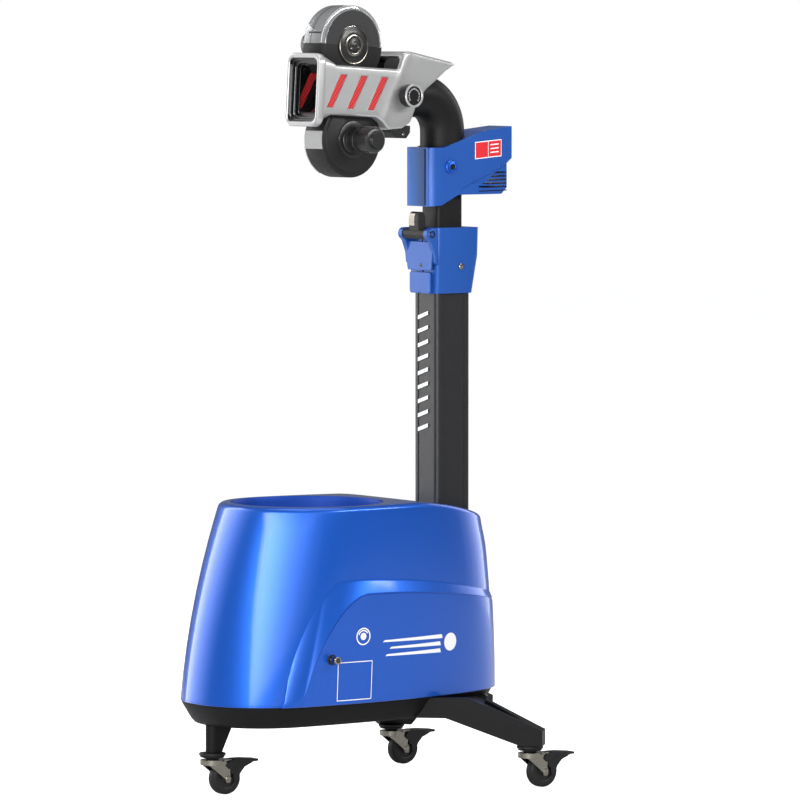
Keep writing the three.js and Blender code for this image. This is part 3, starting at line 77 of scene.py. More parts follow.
class RobotColours(bpy.types.PropertyGroup):
    """Paint and plastic colours, linear."""

    blue: FloatVectorProperty(
        name="Blue shell", description="Gloss paint of the hopper and its covers",
        subtype="COLOR", size=3, min=0, max=1, default=(0.009, 0.096, 0.52),
    )
    bracket_blue: FloatVectorProperty(
        name="Blue metal", description="Satin paint of the collar and the swing bracket",
        subtype="COLOR", size=3, min=0, max=1, default=(0.010, 0.077, 0.35),
    )
    black: FloatVectorProperty(
        name="Black metal", description="Satin black of the mast, tray, legs and pipe",
        subtype="COLOR", size=3, min=0, max=1, default=(0.005, 0.005, 0.0055),
    )
    silver: FloatVectorProperty(
        name="Silver", description="Paint of the head's shells and mouth frame",
        subtype="COLOR", size=3, min=0, max=1, default=(0.50, 0.50, 0.50),
    )
    red: FloatVectorProperty(
        name="Red", description="Ribbed inserts behind the head's slots",
        subtype="COLOR", size=3, min=0, max=1, default=(0.68, 0.035, 0.04),
    )


class RobotSizes(bpy.types.PropertyGroup):
    """Fineness and small edge sizes."""

    tub_columns: IntProperty(
        name="Hopper columns", description="Faces round the hopper's skin", default=280, min=64, max=480,
    )
    edge_round: FloatProperty(
        name="Edge rounding", description="Bevel on moulded and cast edges",
        default=0.8 * MM, min=0.1 * MM, max=3 * MM, unit="LENGTH",
    )
    turned_sides: IntProperty(
        name="Turned sides", description="Faces round a turned piece", default=96, min=24, max=256,
    )


# Shapes

SHARP = 35


def mix(a, b, t):
    return a + (b - a) * t


def shade(mesh, angle=SHARP):
    """Smooth shading, with edges sharp where faces meet at more than the given angle."""
    mesh.shade_smooth()
    mesh.set_sharp_from_angle(angle=math.radians(angle))


def placed(name, mesh):
    """Object of a mesh, linked to the scene."""
    obj = bpy.data.objects.new(name, mesh)
    bpy.context.scene.collection.objects.link(obj)
    return obj


def from_bmesh(name, bm, smooth=None, move=None):
    """Object of a bmesh, moved by a matrix and shaded by an angle where they are given."""
    mesh = bpy.data.meshes.new(name)
    bm.to_mesh(mesh)
    bm.free()
    if move is not None:
        mesh.transform(move)
    if smooth:
        shade(mesh, smooth)
    return placed(name, mesh)


def drop(obj):
    """Removes an object with its mesh."""
    mesh = obj.data
    bpy.data.objects.remove(obj)
    bpy.data.meshes.remove(mesh)


def spots(where, points):
    """Points in millimetres, placed by a matrix."""
    return [where @ (Vector(point) * MM) for point in points]


def mirrored(profile):
    """A turned profile followed by its own mirror image."""
    return profile + [(r, -h) for r, h in reversed(profile)]


def rounded(obj, width=None):
    """Rounds the sharp edges of an object; the width is in millimetres."""
    bevel = obj.modifiers.new("edge", "BEVEL")
    bevel.width = width * MM if width else bpy.context.scene.robot_sizes.edge_round
    bevel.segments = 2
    bevel.limit_method = "ANGLE"
    bevel.angle_limit = math.radians(32)
    bevel.harden_normals = True
    bevel.use_clamp_overlap = True
    return obj


def dress(obj, body, look, slot=None, *nodes):
    """Gives a piece its finish and its body, and hides the CAD nodes it stands for."""
    obj.data.materials.clear()
    obj.data.materials.append(finishes[look])
    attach(obj, body)
    if nodes:
        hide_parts(*nodes)
    return obj


def finer(node, look, body, width=None, smooth=SHARP, name=None):
    """A copy of a CAD node with its flat faces merged and its edges rounded, which stands for the node."""
    bm = bmesh.new()
    bm.from_mesh(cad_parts[node].data)
    bmesh.ops.remove_doubles(bm, verts=bm.verts, dist=2e-6)
    bmesh.ops.dissolve_limit(bm, angle_limit=math.radians(0.6), verts=bm.verts, edges=bm.edges)
    return dress(rounded(from_bmesh(name or f"{node}_fine", bm, smooth), width), body, look, None, node)


TURN = {
    "x": Matrix(((0, 0, 1), (1, 0, 0), (0, 1, 0))).to_4x4(),
    "y": Matrix(((1, 0, 0), (0, 0, 1), (0, -1, 0))).to_4x4(),
    "z": Matrix.Identity(4),
}


def turned(name, profile, place, where=BASE, sides=None, axis="y"):
    """A turned piece: its profile has radius and place along the axis, and is closed on the axis or on itself."""
    sides = sides or bpy.context.scene.robot_sizes.turned_sides
    bm = bmesh.new()
    points = [bm.verts.new((r * MM, 0, h * MM)) for r, h in profile]
    edges = [bm.edges.new(pair) for pair in zip(points, points[1:])]
    bmesh.ops.spin(
        bm, geom=points + edges, cent=(0, 0, 0), axis=(0, 0, 1), angle=2 * math.pi, steps=sides, use_merge=True,
    )
    bmesh.ops.remove_doubles(bm, verts=bm.verts, dist=1e-6)
    bmesh.ops.recalc_face_normals(bm, faces=bm.faces)
    return from_bmesh(name, bm, SHARP, where @ Matrix.Translation(Vector(place) * MM) @ TURN[axis])


def ring_stack(name, rings, close=True, cap=False, smooth=SHARP):
    """Skin through rings of equally many points; the cap joins mirrored points of the first and the last ring."""
    count = len(rings[0])
    verts = [point for ring in rings for point in ring]
    last = (len(rings) - 1) * count
    pairs = [(level * count, (level + 1) * count) for level in range(len(rings) - 1)]
    if close:
        pairs.append((last, 0))
    faces = []
    for a, b in pairs:
        for i in range(count):
            j = (i + 1) % count
            faces.append((a + i, a + j, b + j, b + i))
    if cap:
        for i in range(count // 2):
            mirror, before = (count - i) % count, count - i - 1
            low = (i, before, i + 1) if mirror == i else (i, mirror, before, i + 1)
            faces.append(low)
            faces.append(tuple(reversed([last + v for v in low])))
    return mesh_object(name, verts, faces, smooth)


def mesh_object(name, verts, faces, smooth=SHARP):
    mesh = bpy.data.meshes.new(name)
    mesh.from_pydata([tuple(v) for v in verts], [], faces)
    mesh.validate()
    shade(mesh, smooth)
    return placed(name, mesh)


def closed_skin(name, rings, smooth=None):
    """Skin through rings of equally many points, with both of its ends closed."""
    bm = bmesh.new()
    rings = [[bm.verts.new(point) for point in ring] for ring in rings]
    for ring, after in zip(rings, rings[1:]):
        for i in range(len(ring)):
            j = (i + 1) % len(ring)
            bm.faces.new((ring[i], after[i], after[j], ring[j]))
    bm.faces.new(rings[0])
    bm.faces.new(rings[-1])
    bmesh.ops.recalc_face_normals(bm, faces=bm.faces)
    return from_bmesh(name, bm, smooth)


def prism(name, points, low, high, where, plane="xz", width=None):
    """A plate with an outline in millimetres: plane xz runs along Y and yz along X."""
    rings = []
    for h in (low, high):
        rings.append(spots(where, [(a, h, b) if plane == "xz" else (h, a, b) for a, b in points]))
    obj = closed_skin(name, rings, SHARP)
    return rounded(obj, width) if width else obj


def bar(x0, x1, z0, z1):
    return [(x0, z0), (x1, z0), (x1, z1), (x0, z1)]


def round_box(half_a, half_b, corner, steps=6):
    """Outline of a rectangle with round corners."""
    points = []
    for quarter, (sa, sb) in enumerate(((1, 1), (-1, 1), (-1, -1), (1, -1))):
        for i in range(steps + 1):
            angle = (quarter + i / steps) * math.pi / 2
            a, b = corner * math.cos(angle), corner * math.sin(angle)
            points.append((sa * (half_a - corner) + a, sb * (half_b - corner) + b))
    return points


def arc(x, z, radius, count=40, start=0.0, end=2 * math.pi):
    """Points along an arc, both of its ends included."""
    angles = [mix(start, end, i / count) for i in range(count + 1)]
    return [(x + radius * math.cos(a), z + radius * math.sin(a)) for a in angles]


def merged(name, pieces):
    """Joins loose pieces of one finish into one object."""
    bm = bmesh.new()
    for piece in pieces:
        bpy.context.view_layer.update()
        solid = piece.evaluated_get(bpy.context.evaluated_depsgraph_get())
        data = solid.to_mesh()
        data.transform(piece.matrix_world)
        bm.from_mesh(data)
        solid.to_mesh_clear()
        drop(piece)
    return from_bmesh(name, bm)


def cut_with(obj, cutter):
    """Cuts a piece with another and drops the cutter."""
    boolean = obj.modifiers.new("cut", "BOOLEAN")
    boolean.operation = "DIFFERENCE"
    boolean.solver = "EXACT"
    boolean.object = cutter
    bpy.context.view_layer.update()
    mesh = bpy.data.meshes.new_from_object(obj.evaluated_get(bpy.context.evaluated_depsgraph_get()))
    obj.modifiers.clear()
    old = obj.data
    obj.data = mesh
    bpy.data.meshes.remove(old)
    drop(cutter)


# Materials


class Finish:
    """Builds one node material step by step."""

    def __init__(self, name, color, roughness, metallic=0.0, **sockets):
        self.material = bpy.data.materials.new(name)
        self.material.use_nodes = True
        self.tree = self.material.node_tree
        self.shader = self.tree.nodes["Principled BSDF"]
        self.shader.inputs["Base Color"].default_value = (*color, 1)
        self.shader.inputs["Roughness"].default_value = roughness
        self.shader.inputs["Metallic"].default_value = metallic
        for socket, value in sockets.items():
            self.shader.inputs[socket.replace("_", " ")].default_value = value
        self.color = color
        self.roughness = roughness
        self.coordinates = self.tree.nodes.new("ShaderNodeTexCoord").outputs

    def node(self, kind, sockets=None, **settings):
        made = self.tree.nodes.new(kind)
        for key, value in settings.items():
            setattr(made, key, value)
        for key, value in (sockets or {}).items():
            made.inputs[key].default_value = value
        return made

    def link(self, start, end):
        self.tree.links.new(start, end)

    def noise(self, scale, detail, stretch=(1, 1, 1)):
        """Noise over the object's own coordinates."""
        mapping = self.node("ShaderNodeMapping", {"Scale": stretch})
        self.link(self.coordinates["Object"], mapping.inputs["Vector"])
        noise = self.node("ShaderNodeTexNoise", {"Scale": scale, "Detail": detail})
        self.link(mapping.outputs["Vector"], noise.inputs["Vector"])
        return noise.outputs["Fac"]

    def ramp(self, factor, low, high, start=0.0, end=1.0):
        """Takes a factor from the range of start and end to the range of low and high."""
        ramp = self.node("ShaderNodeMapRange", {"From Min": start, "From Max": end, "To Min": low, "To Max": high})
        self.link(factor, ramp.inputs["Value"])
        return ramp.outputs["Result"]

    def fade(self, axis):
        """Painted shade: an even change across the object along one of its axes, from 1 to 0."""
        split = self.node("ShaderNodeSeparateXYZ")
        self.link(self.coordinates["Generated"], split.inputs[0])
        return self.ramp(split.outputs[axis], 1.0, 0.0)

    def tint(self, factor):
        """Multiplies the colour by a factor."""
        scaled = self.node("ShaderNodeVectorMath", {0: self.color}, operation="SCALE")
        self.link(factor, scaled.inputs["Scale"])
        self.link(scaled.outputs["Vector"], self.shader.inputs["Base Color"])

    def tone_and_shade(self, factor, amount):
        """Lets the colour vary: a little at random, and across the bracket's front plate as painted shade."""
        self.tint(self.ramp(factor, 1 - amount, 1 + amount))

    def sheen_change(self, factor, amount):
        """Lets the roughness vary."""
        rough = self.ramp(factor, max(self.roughness - amount, 0.02), self.roughness + amount, 0.3, 0.7)
        self.link(rough, self.shader.inputs["Roughness"])

    def bump(self, factor, strength, distance):
        """Raises the surface by a factor."""
        bump = self.node("ShaderNodeBump", {"Strength": strength, "Distance": distance})
        self.link(factor, bump.inputs["Height"])
        self.link(bump.outputs["Normal"], self.shader.inputs["Normal"])


def coat(weight, roughness, **others):
    return dict(Coat_Weight=weight, Coat_Roughness=roughness, **others)


def specular(value):
    return dict(Specular_IOR_Level=value)


# A finish has its material's name, its colour or the name of a colour above, roughness, metallic share and other
# sockets, then the noises that vary its colour, its sheen and its surface. A noise has its amount, for the surface
# also a height in metres, then its scale and detail, and a stretch where it has one.
FINISHES = {
    "blue": ("gloss_blue", "blue", 0.34, 0.58, coat(1.0, 0.09, Coat_IOR=1.32, Specular_IOR_Level=0.25),
        (0.05, 900, 2), (0.08, 1400, 2), (0.05, 0.00008, 2600, 1)),
    "bowl_blue": ("bowl_blue", (0.006, 0.052, 0.34), 0.5, 0.2, specular(0.2),
        (0.08, 30, 4), (0.05, 200, 3), (0.1, 0.0001, 1500, 2)),
    "satin_blue": ("satin_blue", "bracket_blue", 0.42, 0.25, coat(0.5, 0.12, Coat_IOR=1.3, Specular_IOR_Level=0.3),
        (0.05, 500, 3), None, (0.12, 0.00015, 1800, 2)),
    # Darker copy of the satin blue for the bracket's front plate, faded across it below: painted shade.
    "bracket_front": ("bracket_front_blue", (0.010, 0.068, 0.25), 0.42, 0.25, specular(0.25),
        None, (0.04, 700, 3), (0.1, 0.00008, 1500, 2)),
    "black": ("satin_black", "black", 0.46, 0, specular(0.14),
        (0.15, 60, 4), (0.07, 700, 3), (0.22, 0.00015, 2200, 2)),
    "mast": ("mast_black", (0.012, 0.012, 0.0135), 0.38, 0, specular(0.4),
        (0.12, 60, 4), (0.05, 600, 3, (1, 1, 0.2)), (0.15, 0.00012, 1900, 2)),
    "pipe": ("pipe_black", (0.005, 0.005, 0.005), 0.46, 0, specular(0.2),
        (0.2, 50, 4), (0.06, 500, 3), (0.12, 0.00012, 1900, 2)),
    "moulded": ("moulded_black", (0.008, 0.008, 0.0085), 0.5, 0, specular(0.3),
        (0.2, 80, 4), (0.08, 300, 3), (0.35, 0.0002, 1500, 3)),
    "gloss_black": ("gloss_black", (0.008, 0.008, 0.009), 0.16, 0, coat(0.6, 0.05),
        None, (0.04, 400, 3), (0.04, 0.0001, 900, 2)),
    "charcoal": ("charcoal_face", (0.026, 0.026, 0.027), 0.45, 0, specular(0.3),
        (0.1, 120, 4), (0.05, 300, 3), (0.2, 0.00015, 1500, 2)),
    "motor_case": ("motor_case_black", (0.010, 0.010, 0.010), 0.34, 0.1, coat(0.2, 0.15),
        (0.12, 300, 3), (0.06, 500, 3, (1, 5, 1)), (0.08, 0.0001, 1500, 2)),
    "rubber": ("tyre_rubber", (0.008, 0.008, 0.008), 0.62, 0, specular(0.3),
        (0.2, 140, 4), (0.08, 90, 3), (0.4, 0.0002, 1300, 3)),
    "hub": ("hub_black", (0.014, 0.014, 0.0145), 0.42, 0, specular(0.3),
        (0.1, 200, 3), None, (0.15, 0.0002, 1200, 2)),
    "silver": ("brushed_silver", "silver", 0.32, 0.65, {},
        (0.08, 700, 3, (0.3, 1, 1)), (0.03, 420, 3, (0.4, 1, 2)), (0.18, 0.00012, 2400, 2)),
    "nickel": ("nickel_plate", (0.42, 0.39, 0.34), 0.17, 1, {},
        (0.08, 120, 4), (0.06, 260, 4), (0.05, 0.0002, 500, 3)),
    "motor": ("dark_metal", (0.11, 0.11, 0.115), 0.3, 0.8, {},
        (0.15, 400, 4), (0.08, 600, 3, (1, 6, 1)), (0.1, 0.0001, 1500, 2)),
    "fork_steel": ("fork_steel", (0.25, 0.235, 0.20), 0.24, 1, {},
        (0.1, 300, 3), (0.07, 700, 3), (0.1, 0.00006, 2200, 2)),
    "guard": ("guard_grey", (0.30, 0.30, 0.30), 0.4, 0.2, {},
        (0.08, 260, 3), (0.05, 500, 3), (0.1, 0.0001, 1500, 2)),
    "anodised": ("anodised_tube", (0.10, 0.10, 0.105), 0.34, 0.6, {},
        (0.08, 90, 3), (0.06, 500, 3, (6, 6, 0.2)), (0.08, 0.0001, 1500, 2, (4, 4, 0.2))),
    "clear": ("clear_cover", (0.60, 0.61, 0.62), 0.08, 0, dict(Transmission_Weight=0.7, IOR=1.4, Coat_Weight=0.8),
        None, (0.03, 60, 3), (0.03, 0.0006, 30, 2)),
    "red": ("red_insert", "red", 0.42, 0, {}, None, None, None),
    # White of the prints, also used for the painted highlight on the clear dome's rim.
    "white": ("white_print", (0.80, 0.81, 0.83), 0.4, 0, {}, (0.03, 800, 2), None, (0.05, 0.0001, 900, 2)),
    "sticker": ("red_sticker", (0.62, 0.02, 0.03), 0.3, 0, {}, (0.05, 300, 3), None, (0.06, 0.0001, 700, 2)),
    "white_plastic": ("white_plastic", (0.62, 0.62, 0.60), 0.35, 0, {}, (0.04, 90, 3), None, (0.1, 0.0002, 800, 2)),
}


def make_finishes():
    """All finishes of the robot, by name."""
    made = {}
    for look, row in FINISHES.items():
        name, color, roughness, metallic, sockets, tone_and_shade, sheen, surface = row
        if isinstance(color, str):
            color = tuple(getattr(bpy.context.scene.robot_colours, color))
        finish = made[look] = Finish(name, color, roughness, metallic, **sockets)
        if tone_and_shade:
            finish.tone_and_shade(finish.noise(*tone_and_shade[1:]), tone_and_shade[0])
        if sheen:
            finish.sheen_change(finish.noise(*sheen[1:]), sheen[0])
        if surface:
            finish.bump(finish.noise(*surface[2:]), *surface[:2])
    front, red = made["bracket_front"], made["red"]
    # Painted shade: the bracket's front plate goes from light at one side to dark at the other.
    front.tone_and_shade(front.fade("Y"), 0.6)
    ribs = red.node("ShaderNodeTexWave", {"Scale": 95}, bands_direction="DIAGONAL", wave_profile="SAW")
    red.link(red.coordinates["Object"], ribs.inputs["Vector"])
    red.tint(red.ramp(ribs.outputs["Fac"], 0.35, 1.0, 0.1, 0.55))
    red.bump(ribs.outputs["Fac"], 0.6, 0.0006)
    return {look: finish.material for look, finish in made.items()}


finishes = {}


# Hopper: the same plan as the solid, in finer columns

TUB = {
    "bottom": 142, "rim": 446, "edge": 8, "noses": (459, 385), "wides": (330, 254), "halves": (127, 134),
    "tails": (-88, -59), "bulges": (11, 3, 6), "crown": 120, "fall": 32,
}
OPENING_X, OPENING_R = 254, 116
SEAM_DEPTH, BAND_EDGE, TUB_SHARP = 1.6, 0.6, 24
# A fender line has its height, where its fall to the foot starts and ends, and its fall towards the tail
FENDER = {"raise": 7, "tail_raise": 3, "outer": (332, 285, 346, 42), "inner": (311, 234, 312, 31)}


def tub_plan(share, turn):
    belly = 4 * share * (1 - share)
    nose = mix(*TUB["noses"], share) + TUB["bulges"][0] * belly
    half = mix(*TUB["halves"], share) + TUB["bulges"][1] * belly
    tail = mix(*TUB["tails"], share) - TUB["bulges"][2] * belly
    wide = mix(*TUB["wides"], share)
    c, s = math.cos(turn), math.sin(turn)
    power = 2 / 2.2 if c > 0 else 1
    reach = nose - wide if c > 0 else wide - tail
    return wide + math.copysign(reach * abs(c) ** power, c), math.copysign(half * abs(s) ** power, s)


def deck_fall(x):
    way = max(TUB["crown"] - x, 0) / (TUB["crown"] - TUB["tails"][1])
    return TUB["fall"] * way ** 1.5


def tub_point(turn, z, offset):
    share = (z - TUB["bottom"]) / (TUB["rim"] - TUB["bottom"])
    flat = min(max(share, 0), 1)
    x, y = tub_plan(flat, turn)
    x0, y0 = tub_plan(flat, turn - 0.01)
    x1, y1 = tub_plan(flat, turn + 0.01)
    nx, ny = y1 - y0, x0 - x1
    length = math.hypot(nx, ny)
    blend = min(max((share - 0.7) / 0.3, 0), 1)
    blend = blend * blend * (3 - 2 * blend)
    return Vector((x + nx / length * offset, y + ny / length * offset, z - blend * deck_fall(x)))


def fender_edge(turn, which):
    """Height of a fender line: it falls towards the tail and drops as a quarter ellipse to its foot."""
    top, start, foot, rear_fall = FENDER[which]
    x = tub_plan(0.5, turn)[0]
    tail = tub_plan(0.5, math.pi)[0]
    behind = max(start - x, 0) / (start - tail)
    ahead = min(max((x - start) / (foot - start), 0), 1)
    return top - rear_fall * behind ** 2 - (top - TUB["bottom"]) * (1 - math.sqrt(1 - ahead ** 2))


def hopper_turns():
    """Directions round the hopper, closer together where the fender meets its foot."""
    half = bpy.context.scene.robot_sizes.tub_columns // 2
    stops = ((0, 0), (1.13, 0.14), (1.20, 0.22), (1.24, 0.38), (1.30, 0.52), (1.62, 0.68), (math.pi, 1))
    turns = []
    for i in range(half + 1):
        share = i / half
        for (start, low), (end, high) in zip(stops, stops[1:]):
            if share <= high:
                turns.append(mix(start, end, (share - low) / (high - low)))
                break
    return turns + [2 * math.pi - turn for turn in turns[-2:0:-1]]


def tub_ring(level, offset):
    return [BASE @ (tub_point(turn, level(turn), offset(turn)) * MM) for turn in hopper_turns()]


def rise(turn):
    """How far the fender stands out: less at the tail and nothing in front of its foot."""
    over = (fender_edge(turn, "outer") - TUB["bottom"] - 4) / 30
    over = min(max(over, 0), 1)
    side = abs(math.sin(turn)) if math.cos(turn) < 0 else 1
    return mix(FENDER["tail_raise"], FENDER["raise"], side) * over * over * (3 - 2 * over)


def outer_line(turn):
    return max(fender_edge(turn, "outer"), TUB["bottom"] + 8)


def inner_line(turn):
    return max(min(fender_edge(turn, "inner"), outer_line(turn) - 3), TUB["bottom"] + 3)


def build_tub():
    """Blue skin with the raised fender, its bevel band and the seam of the cover inside it."""
    bottom, rim, edge = TUB["bottom"], TUB["rim"], TUB["edge"]

    def groove(turn):
        return rise(turn) - (SEAM_DEPTH if fender_edge(turn, "inner") > bottom + 4 else 0)

    rings = [tub_ring(lambda t: bottom, lambda t: rise(t) - 1.2), tub_ring(lambda t: bottom + 1.0, rise)]
    for share in (0.3, 0.6, 0.85):
        rings.append(tub_ring(lambda t: mix(bottom + 1, inner_line(t) - 2.2, share), rise))
    for lift, offset in ((-1.9, rise), (-1.4, rise), (-1.2, groove), (-0.2, groove)):
        rings.append(tub_ring(lambda t: inner_line(t) + lift, offset))
    rings.append(tub_ring(inner_line, lambda t: rise(t) - 0.4))
    rings.append(tub_ring(lambda t: inner_line(t) + BAND_EDGE, rise))
    for share, height in ((0.03, 0.982), (0.08, 0.92), (0.9, 0.1), (0.96, 0.0208), (1.0, 0)):
        rings.append(tub_ring(
            lambda t: mix(inner_line(t) + BAND_EDGE, outer_line(t) + 1, share), lambda t: rise(t) * height,
        ))
    for share in (0, 0.05, 0.12, 0.25, 0.4, 0.55, 0.7, 0.82, 0.92, 1.0):
        rings.append(tub_ring(lambda t: mix(outer_line(t) + 2.5, rim - edge, share), lambda t: 0))
    for i in range(1, 9):
        angle = i / 8 * math.pi / 2
        rings.append(tub_ring(
            lambda t: rim - edge * (1 - math.sin(angle)), lambda t: -edge * (1 - math.cos(angle)),
        ))
    return ring_stack("hopper_skin", rings, close=False, cap=True, smooth=TUB_SHARP)


class ROBOT_OT_hopper(bpy.types.Operator):
    """Blue hopper skin with its fenders, and the opening in its deck"""

    bl_idname = "robot.hopper"
    bl_label = "Hopper"

    def execute(self, context):
        tub = build_tub()
        bore = [(0, 200), (OPENING_R + 3, 200), (OPENING_R + 3, 480), (0, 480)]
        cut_with(tub, turned("opening", bore, (OPENING_X, 0, 0), sides=160, axis="z"))
        shade(tub.data, TUB_SHARP)
        dress(tub, "base", "blue", "blue_gloss", "hopper_tub", "left_side_cover", "right_side_cover")
        lip = [
            (OPENING_R + 2.6, 437), (OPENING_R + 2.6, 445.2), (OPENING_R + 2.2, 446), (OPENING_R + 1.2, 446.2),
            (OPENING_R, 445.8), (OPENING_R - 0.8, 444), (OPENING_R - 1.4, 438), (108, 330), (104, 262), (100, 246),
            (84, 220), (78, 216), (64, 215.2), (63.2, 214.5), (63, 197), (24, 197), (24, 194.5), (65.5, 194.5),
            (65.5, 213.5), (80, 213.5), (106.5, 262), (OPENING_R, 434), (OPENING_R + 2.6, 437),
        ]
        bowl = turned("hopper_bowl_skin", lip, (OPENING_X, 0, 0), sides=128, axis="z")
        dress(bowl, "base", "bowl_blue", "blue_gloss", "hopper_bowl")
        finer("pickup_wheel", "white_plastic", "pickup_wheel", 0.6)
        return {"FINISHED"}


class ROBOT_OT_side_knob(bpy.types.Operator):
    """Small knob on the left cover, with a bright ring"""

    bl_idname = "robot.side_knob"
    bl_label = "Side knob"

    def execute(self, context):
        face = (298, 137.9, 213)
        seat = [(0, -4.9), (8, -4.9), (8, 1.4), (7.2, 2.2), (0, 2.2)]
        dress(turned("side_knob_seat", seat, face), "base", "moulded", "black_satin", "side_knob_base")
        grip = [
            (0, 2.5), (6.3, 2.5), (6.3, 5.2), (5.9, 5.6), (5.9, 13.9), (6.2, 14.4), (6.2, 16), (5.4, 17.2), (0, 17.2),
        ]
        dress(turned("side_knob_grip", grip, face), "side_knob", "gloss_black", "black_gloss", "side_knob")
        band = [(5.8, 14), (6.3, 14.4), (6.3, 15.9), (5.4, 17.3), (4.2, 17.3), (4.2, 16.9), (5.8, 14)]
        dress(turned("side_knob_ring", band, face), "side_knob", "nickel", "nickel")
        return {"FINISHED"}


class ROBOT_OT_base(bpy.types.Operator):
    """Tray, front leg, rear arms and what stands on the tray"""

    bl_idname = "robot.base"
    bl_label = "Base"

    def execute(self, context):
        bottom = TUB["bottom"]
        levels = [
            (108, 26), (108, 24), (108.5, 22.5), (110, 20.5), (114, 17), (120, 13.2), (138, 2.6), (140.5, 1.6),
            (bottom - 0.2, 1.6),
        ]
        rings = [tub_ring(lambda t, z=z: z, lambda t, i=inset: -i) for z, inset in levels]
        tray = ring_stack("tray_skin", rings, close=False, cap=True, smooth=40)
        dress(tray, "base", "black", "black_satin", "base_tray")
        for node in ("front_leg", "rear_left_arm", "rear_right_arm"):
            finer(node, "black", "base", 1.6, 30)
        for node, look in (
            ("feed_motor", "motor"), ("feed_tube", "clear"), ("control_unit", "anodised"), ("mast_foot", "anodised"),
        ):
            finer(node, look, "base", 0.4)
        return {"FINISHED"}


class ROBOT_OT_casters(bpy.types.Operator):
    """Three swivelling casters with brake pedals"""

    bl_idname = "robot.casters"
    bl_label = "Casters"

    def execute(self, context):
        for name, x, y in (("front", 428, 0), ("rear_left", -34, 193), ("rear_right", -34, -193)):
            at = BASE @ Matrix.Translation((x * MM, y * MM, 0))
            self.upper_parts(name, at)
            self.wheel(name, at)
            self.pedal(name, at)
        return {"FINISHED"}

    def upper_parts(self, name, at):
        cap = [
            (0, 50), (7, 50), (7, 52), (5, 52), (5, 55.4), (10, 55.4), (10.4, 57), (16, 58.2), (18.6, 59), (18.8, 60),
            (17.8, 60.6), (19.8, 61.4), (20.6, 62.4), (20.6, 64.6), (19.8, 65.7), (6, 65.7), (5, 66), (5, 82),
            (0, 82),
        ]
        piece = turned(f"{name}_cap", cap, (0, 0, 0), at, 48, "z")
        dress(piece, "base", "moulded", "black_gloss", f"{name}_caster_cap")
        plates = finer(f"{name}_caster_fork", "fork_steel", f"{name}_fork", 0.7, 30, f"{name}_fork_plate")
        cut_with(plates, prism("behind", bar(-60, -26.2, 6, 50), -20, 20, at))

    def wheel(self, name, at):
        axle = (-21.7, 0, 25)
        rivet = mirrored([(0, -13.4), (4, -13.4), (4.8, -12.7), (4.8, -12), (3, -12)])
        piece = turned(f"{name}_rivet", rivet, axle, at, 32)
        dress(piece, f"{name}_fork", "fork_steel", "nickel", f"{name}_caster_axle")
        half = 9
        tyre = [(15.5, -half + 0.5), (20.5, -half), (22.6, -half + 0.4), (24.4, -half + 2.2), (25, -half + 4.4)]
        tyre = mirrored(tyre) + tyre[:1]
        dress(turned(f"{name}_tyre", tyre, axle, at, 80), f"{name}_wheel", "rubber", "rubber", f"{name}_caster_wheel")
        hub = [(3.3, -8.4), (6.5, -8.4), (7.2, -7.6), (8, -5.4), (13.6, -5.4), (14.6, -7.8), (15.6, -8.2)]
        hub = mirrored(hub) + hub[:1]
        dress(turned(f"{name}_hub", hub, axle, at, 64), f"{name}_wheel", "hub", "rubber")

    def pedal(self, name, at):
        finer(f"{name}_caster_pedal", "moulded", f"{name}_pedal", 1.0, 30, f"{name}_pedal_plate")
        wing = [
            (-26, 53.4), (-26, 33), (-30, 31), (-31.5, 22), (-35, 20), (-39, 24), (-43, 33), (-51, 42), (-64, 47.4),
            (-64, 50), (-44, 54.4),
        ]
        for side, low, high in (("left", 12.1, 13.7), ("right", -13.7, -12.1)):
            plate = prism(f"{name}_pedal_wing_{side}", wing, low, high, at, width=0.5)
            dress(plate, f"{name}_pedal", "moulded", "black_satin")
        strip = [(-40, 47.9), (-56, 48.4), (-70, 47.4), (-70, 48.2), (-56, 49.2), (-40, 48.8)]
        dress(prism(f"{name}_pedal_spring", strip, -9, 9, at), f"{name}_pedal", "nickel", "nickel")


def channelled(half, corner, reach=21, depth=1.2, slope=0.5):
    """Outline of the lower mast: a square tube with a shallow channel down each face."""
    points = []
    for quarter in range(4):
        turn = Matrix.Rotation(quarter * math.pi / 2, 2)
        side = [
            (half, -half + corner), (half, -reach), (half - depth, -reach + slope), (half - depth, reach - slope),
            (half, reach),
        ]
        for i in range(6):
            angle = i / 6 * math.pi / 2
            side.append((half - corner + corner * math.cos(angle), half - corner + corner * math.sin(angle)))
        points += [tuple(turn @ Vector(spot)) for spot in side]
    return points


class ROBOT_OT_masts(bpy.types.Operator):
    """Lower and upper mast tubes with the guide bush"""

    bl_idname = "robot.masts"
    bl_label = "Masts"

    def execute(self, context):
        self.tube("lower_mast", 32, 7, 3, 119, 812, "mast", "base", "black_satin")
        self.tube("upper_mast", 24, 7, 1.6, 500, 938, "pipe", "mast_top", "anodised")
        finer("mast_bush", "moulded", "base", 0.4)
        return {"FINISHED"}

    def tube(self, node, half, corner, wall, low, high, look, body, slot):
        outer = channelled(half, corner) if node == "lower_mast" else round_box(half, half, corner, 8)
        inner = round_box(half - wall, half - wall, max(corner - wall, 1), (len(outer) - 4) // 4)
        levels = ((outer, low), (outer, high), (inner, high), (inner, low))
        rings = [spots(BASE, [(a, b, z) for a, b in outline]) for outline, z in levels]
        dress(ring_stack(f"{node}_tube", rings, smooth=30), body, look, slot, node)


def screw(name, where, place, axis, radius, proud, hexed, body, look="nickel"):
    """Pan head screw with a hexagon recess; the place is on the surface it sits on."""
    profile = [
        (0, -0.6), (radius, -0.6), (radius, proud * 0.55), (radius * 0.8, proud), (hexed, proud),
        (hexed, proud * 0.25), (0, proud * 0.25),
    ]
    dress(turned(name, profile, place, where, 24, axis), body, look, "nickel")


PIN_PLACE = (47, 0, 857)


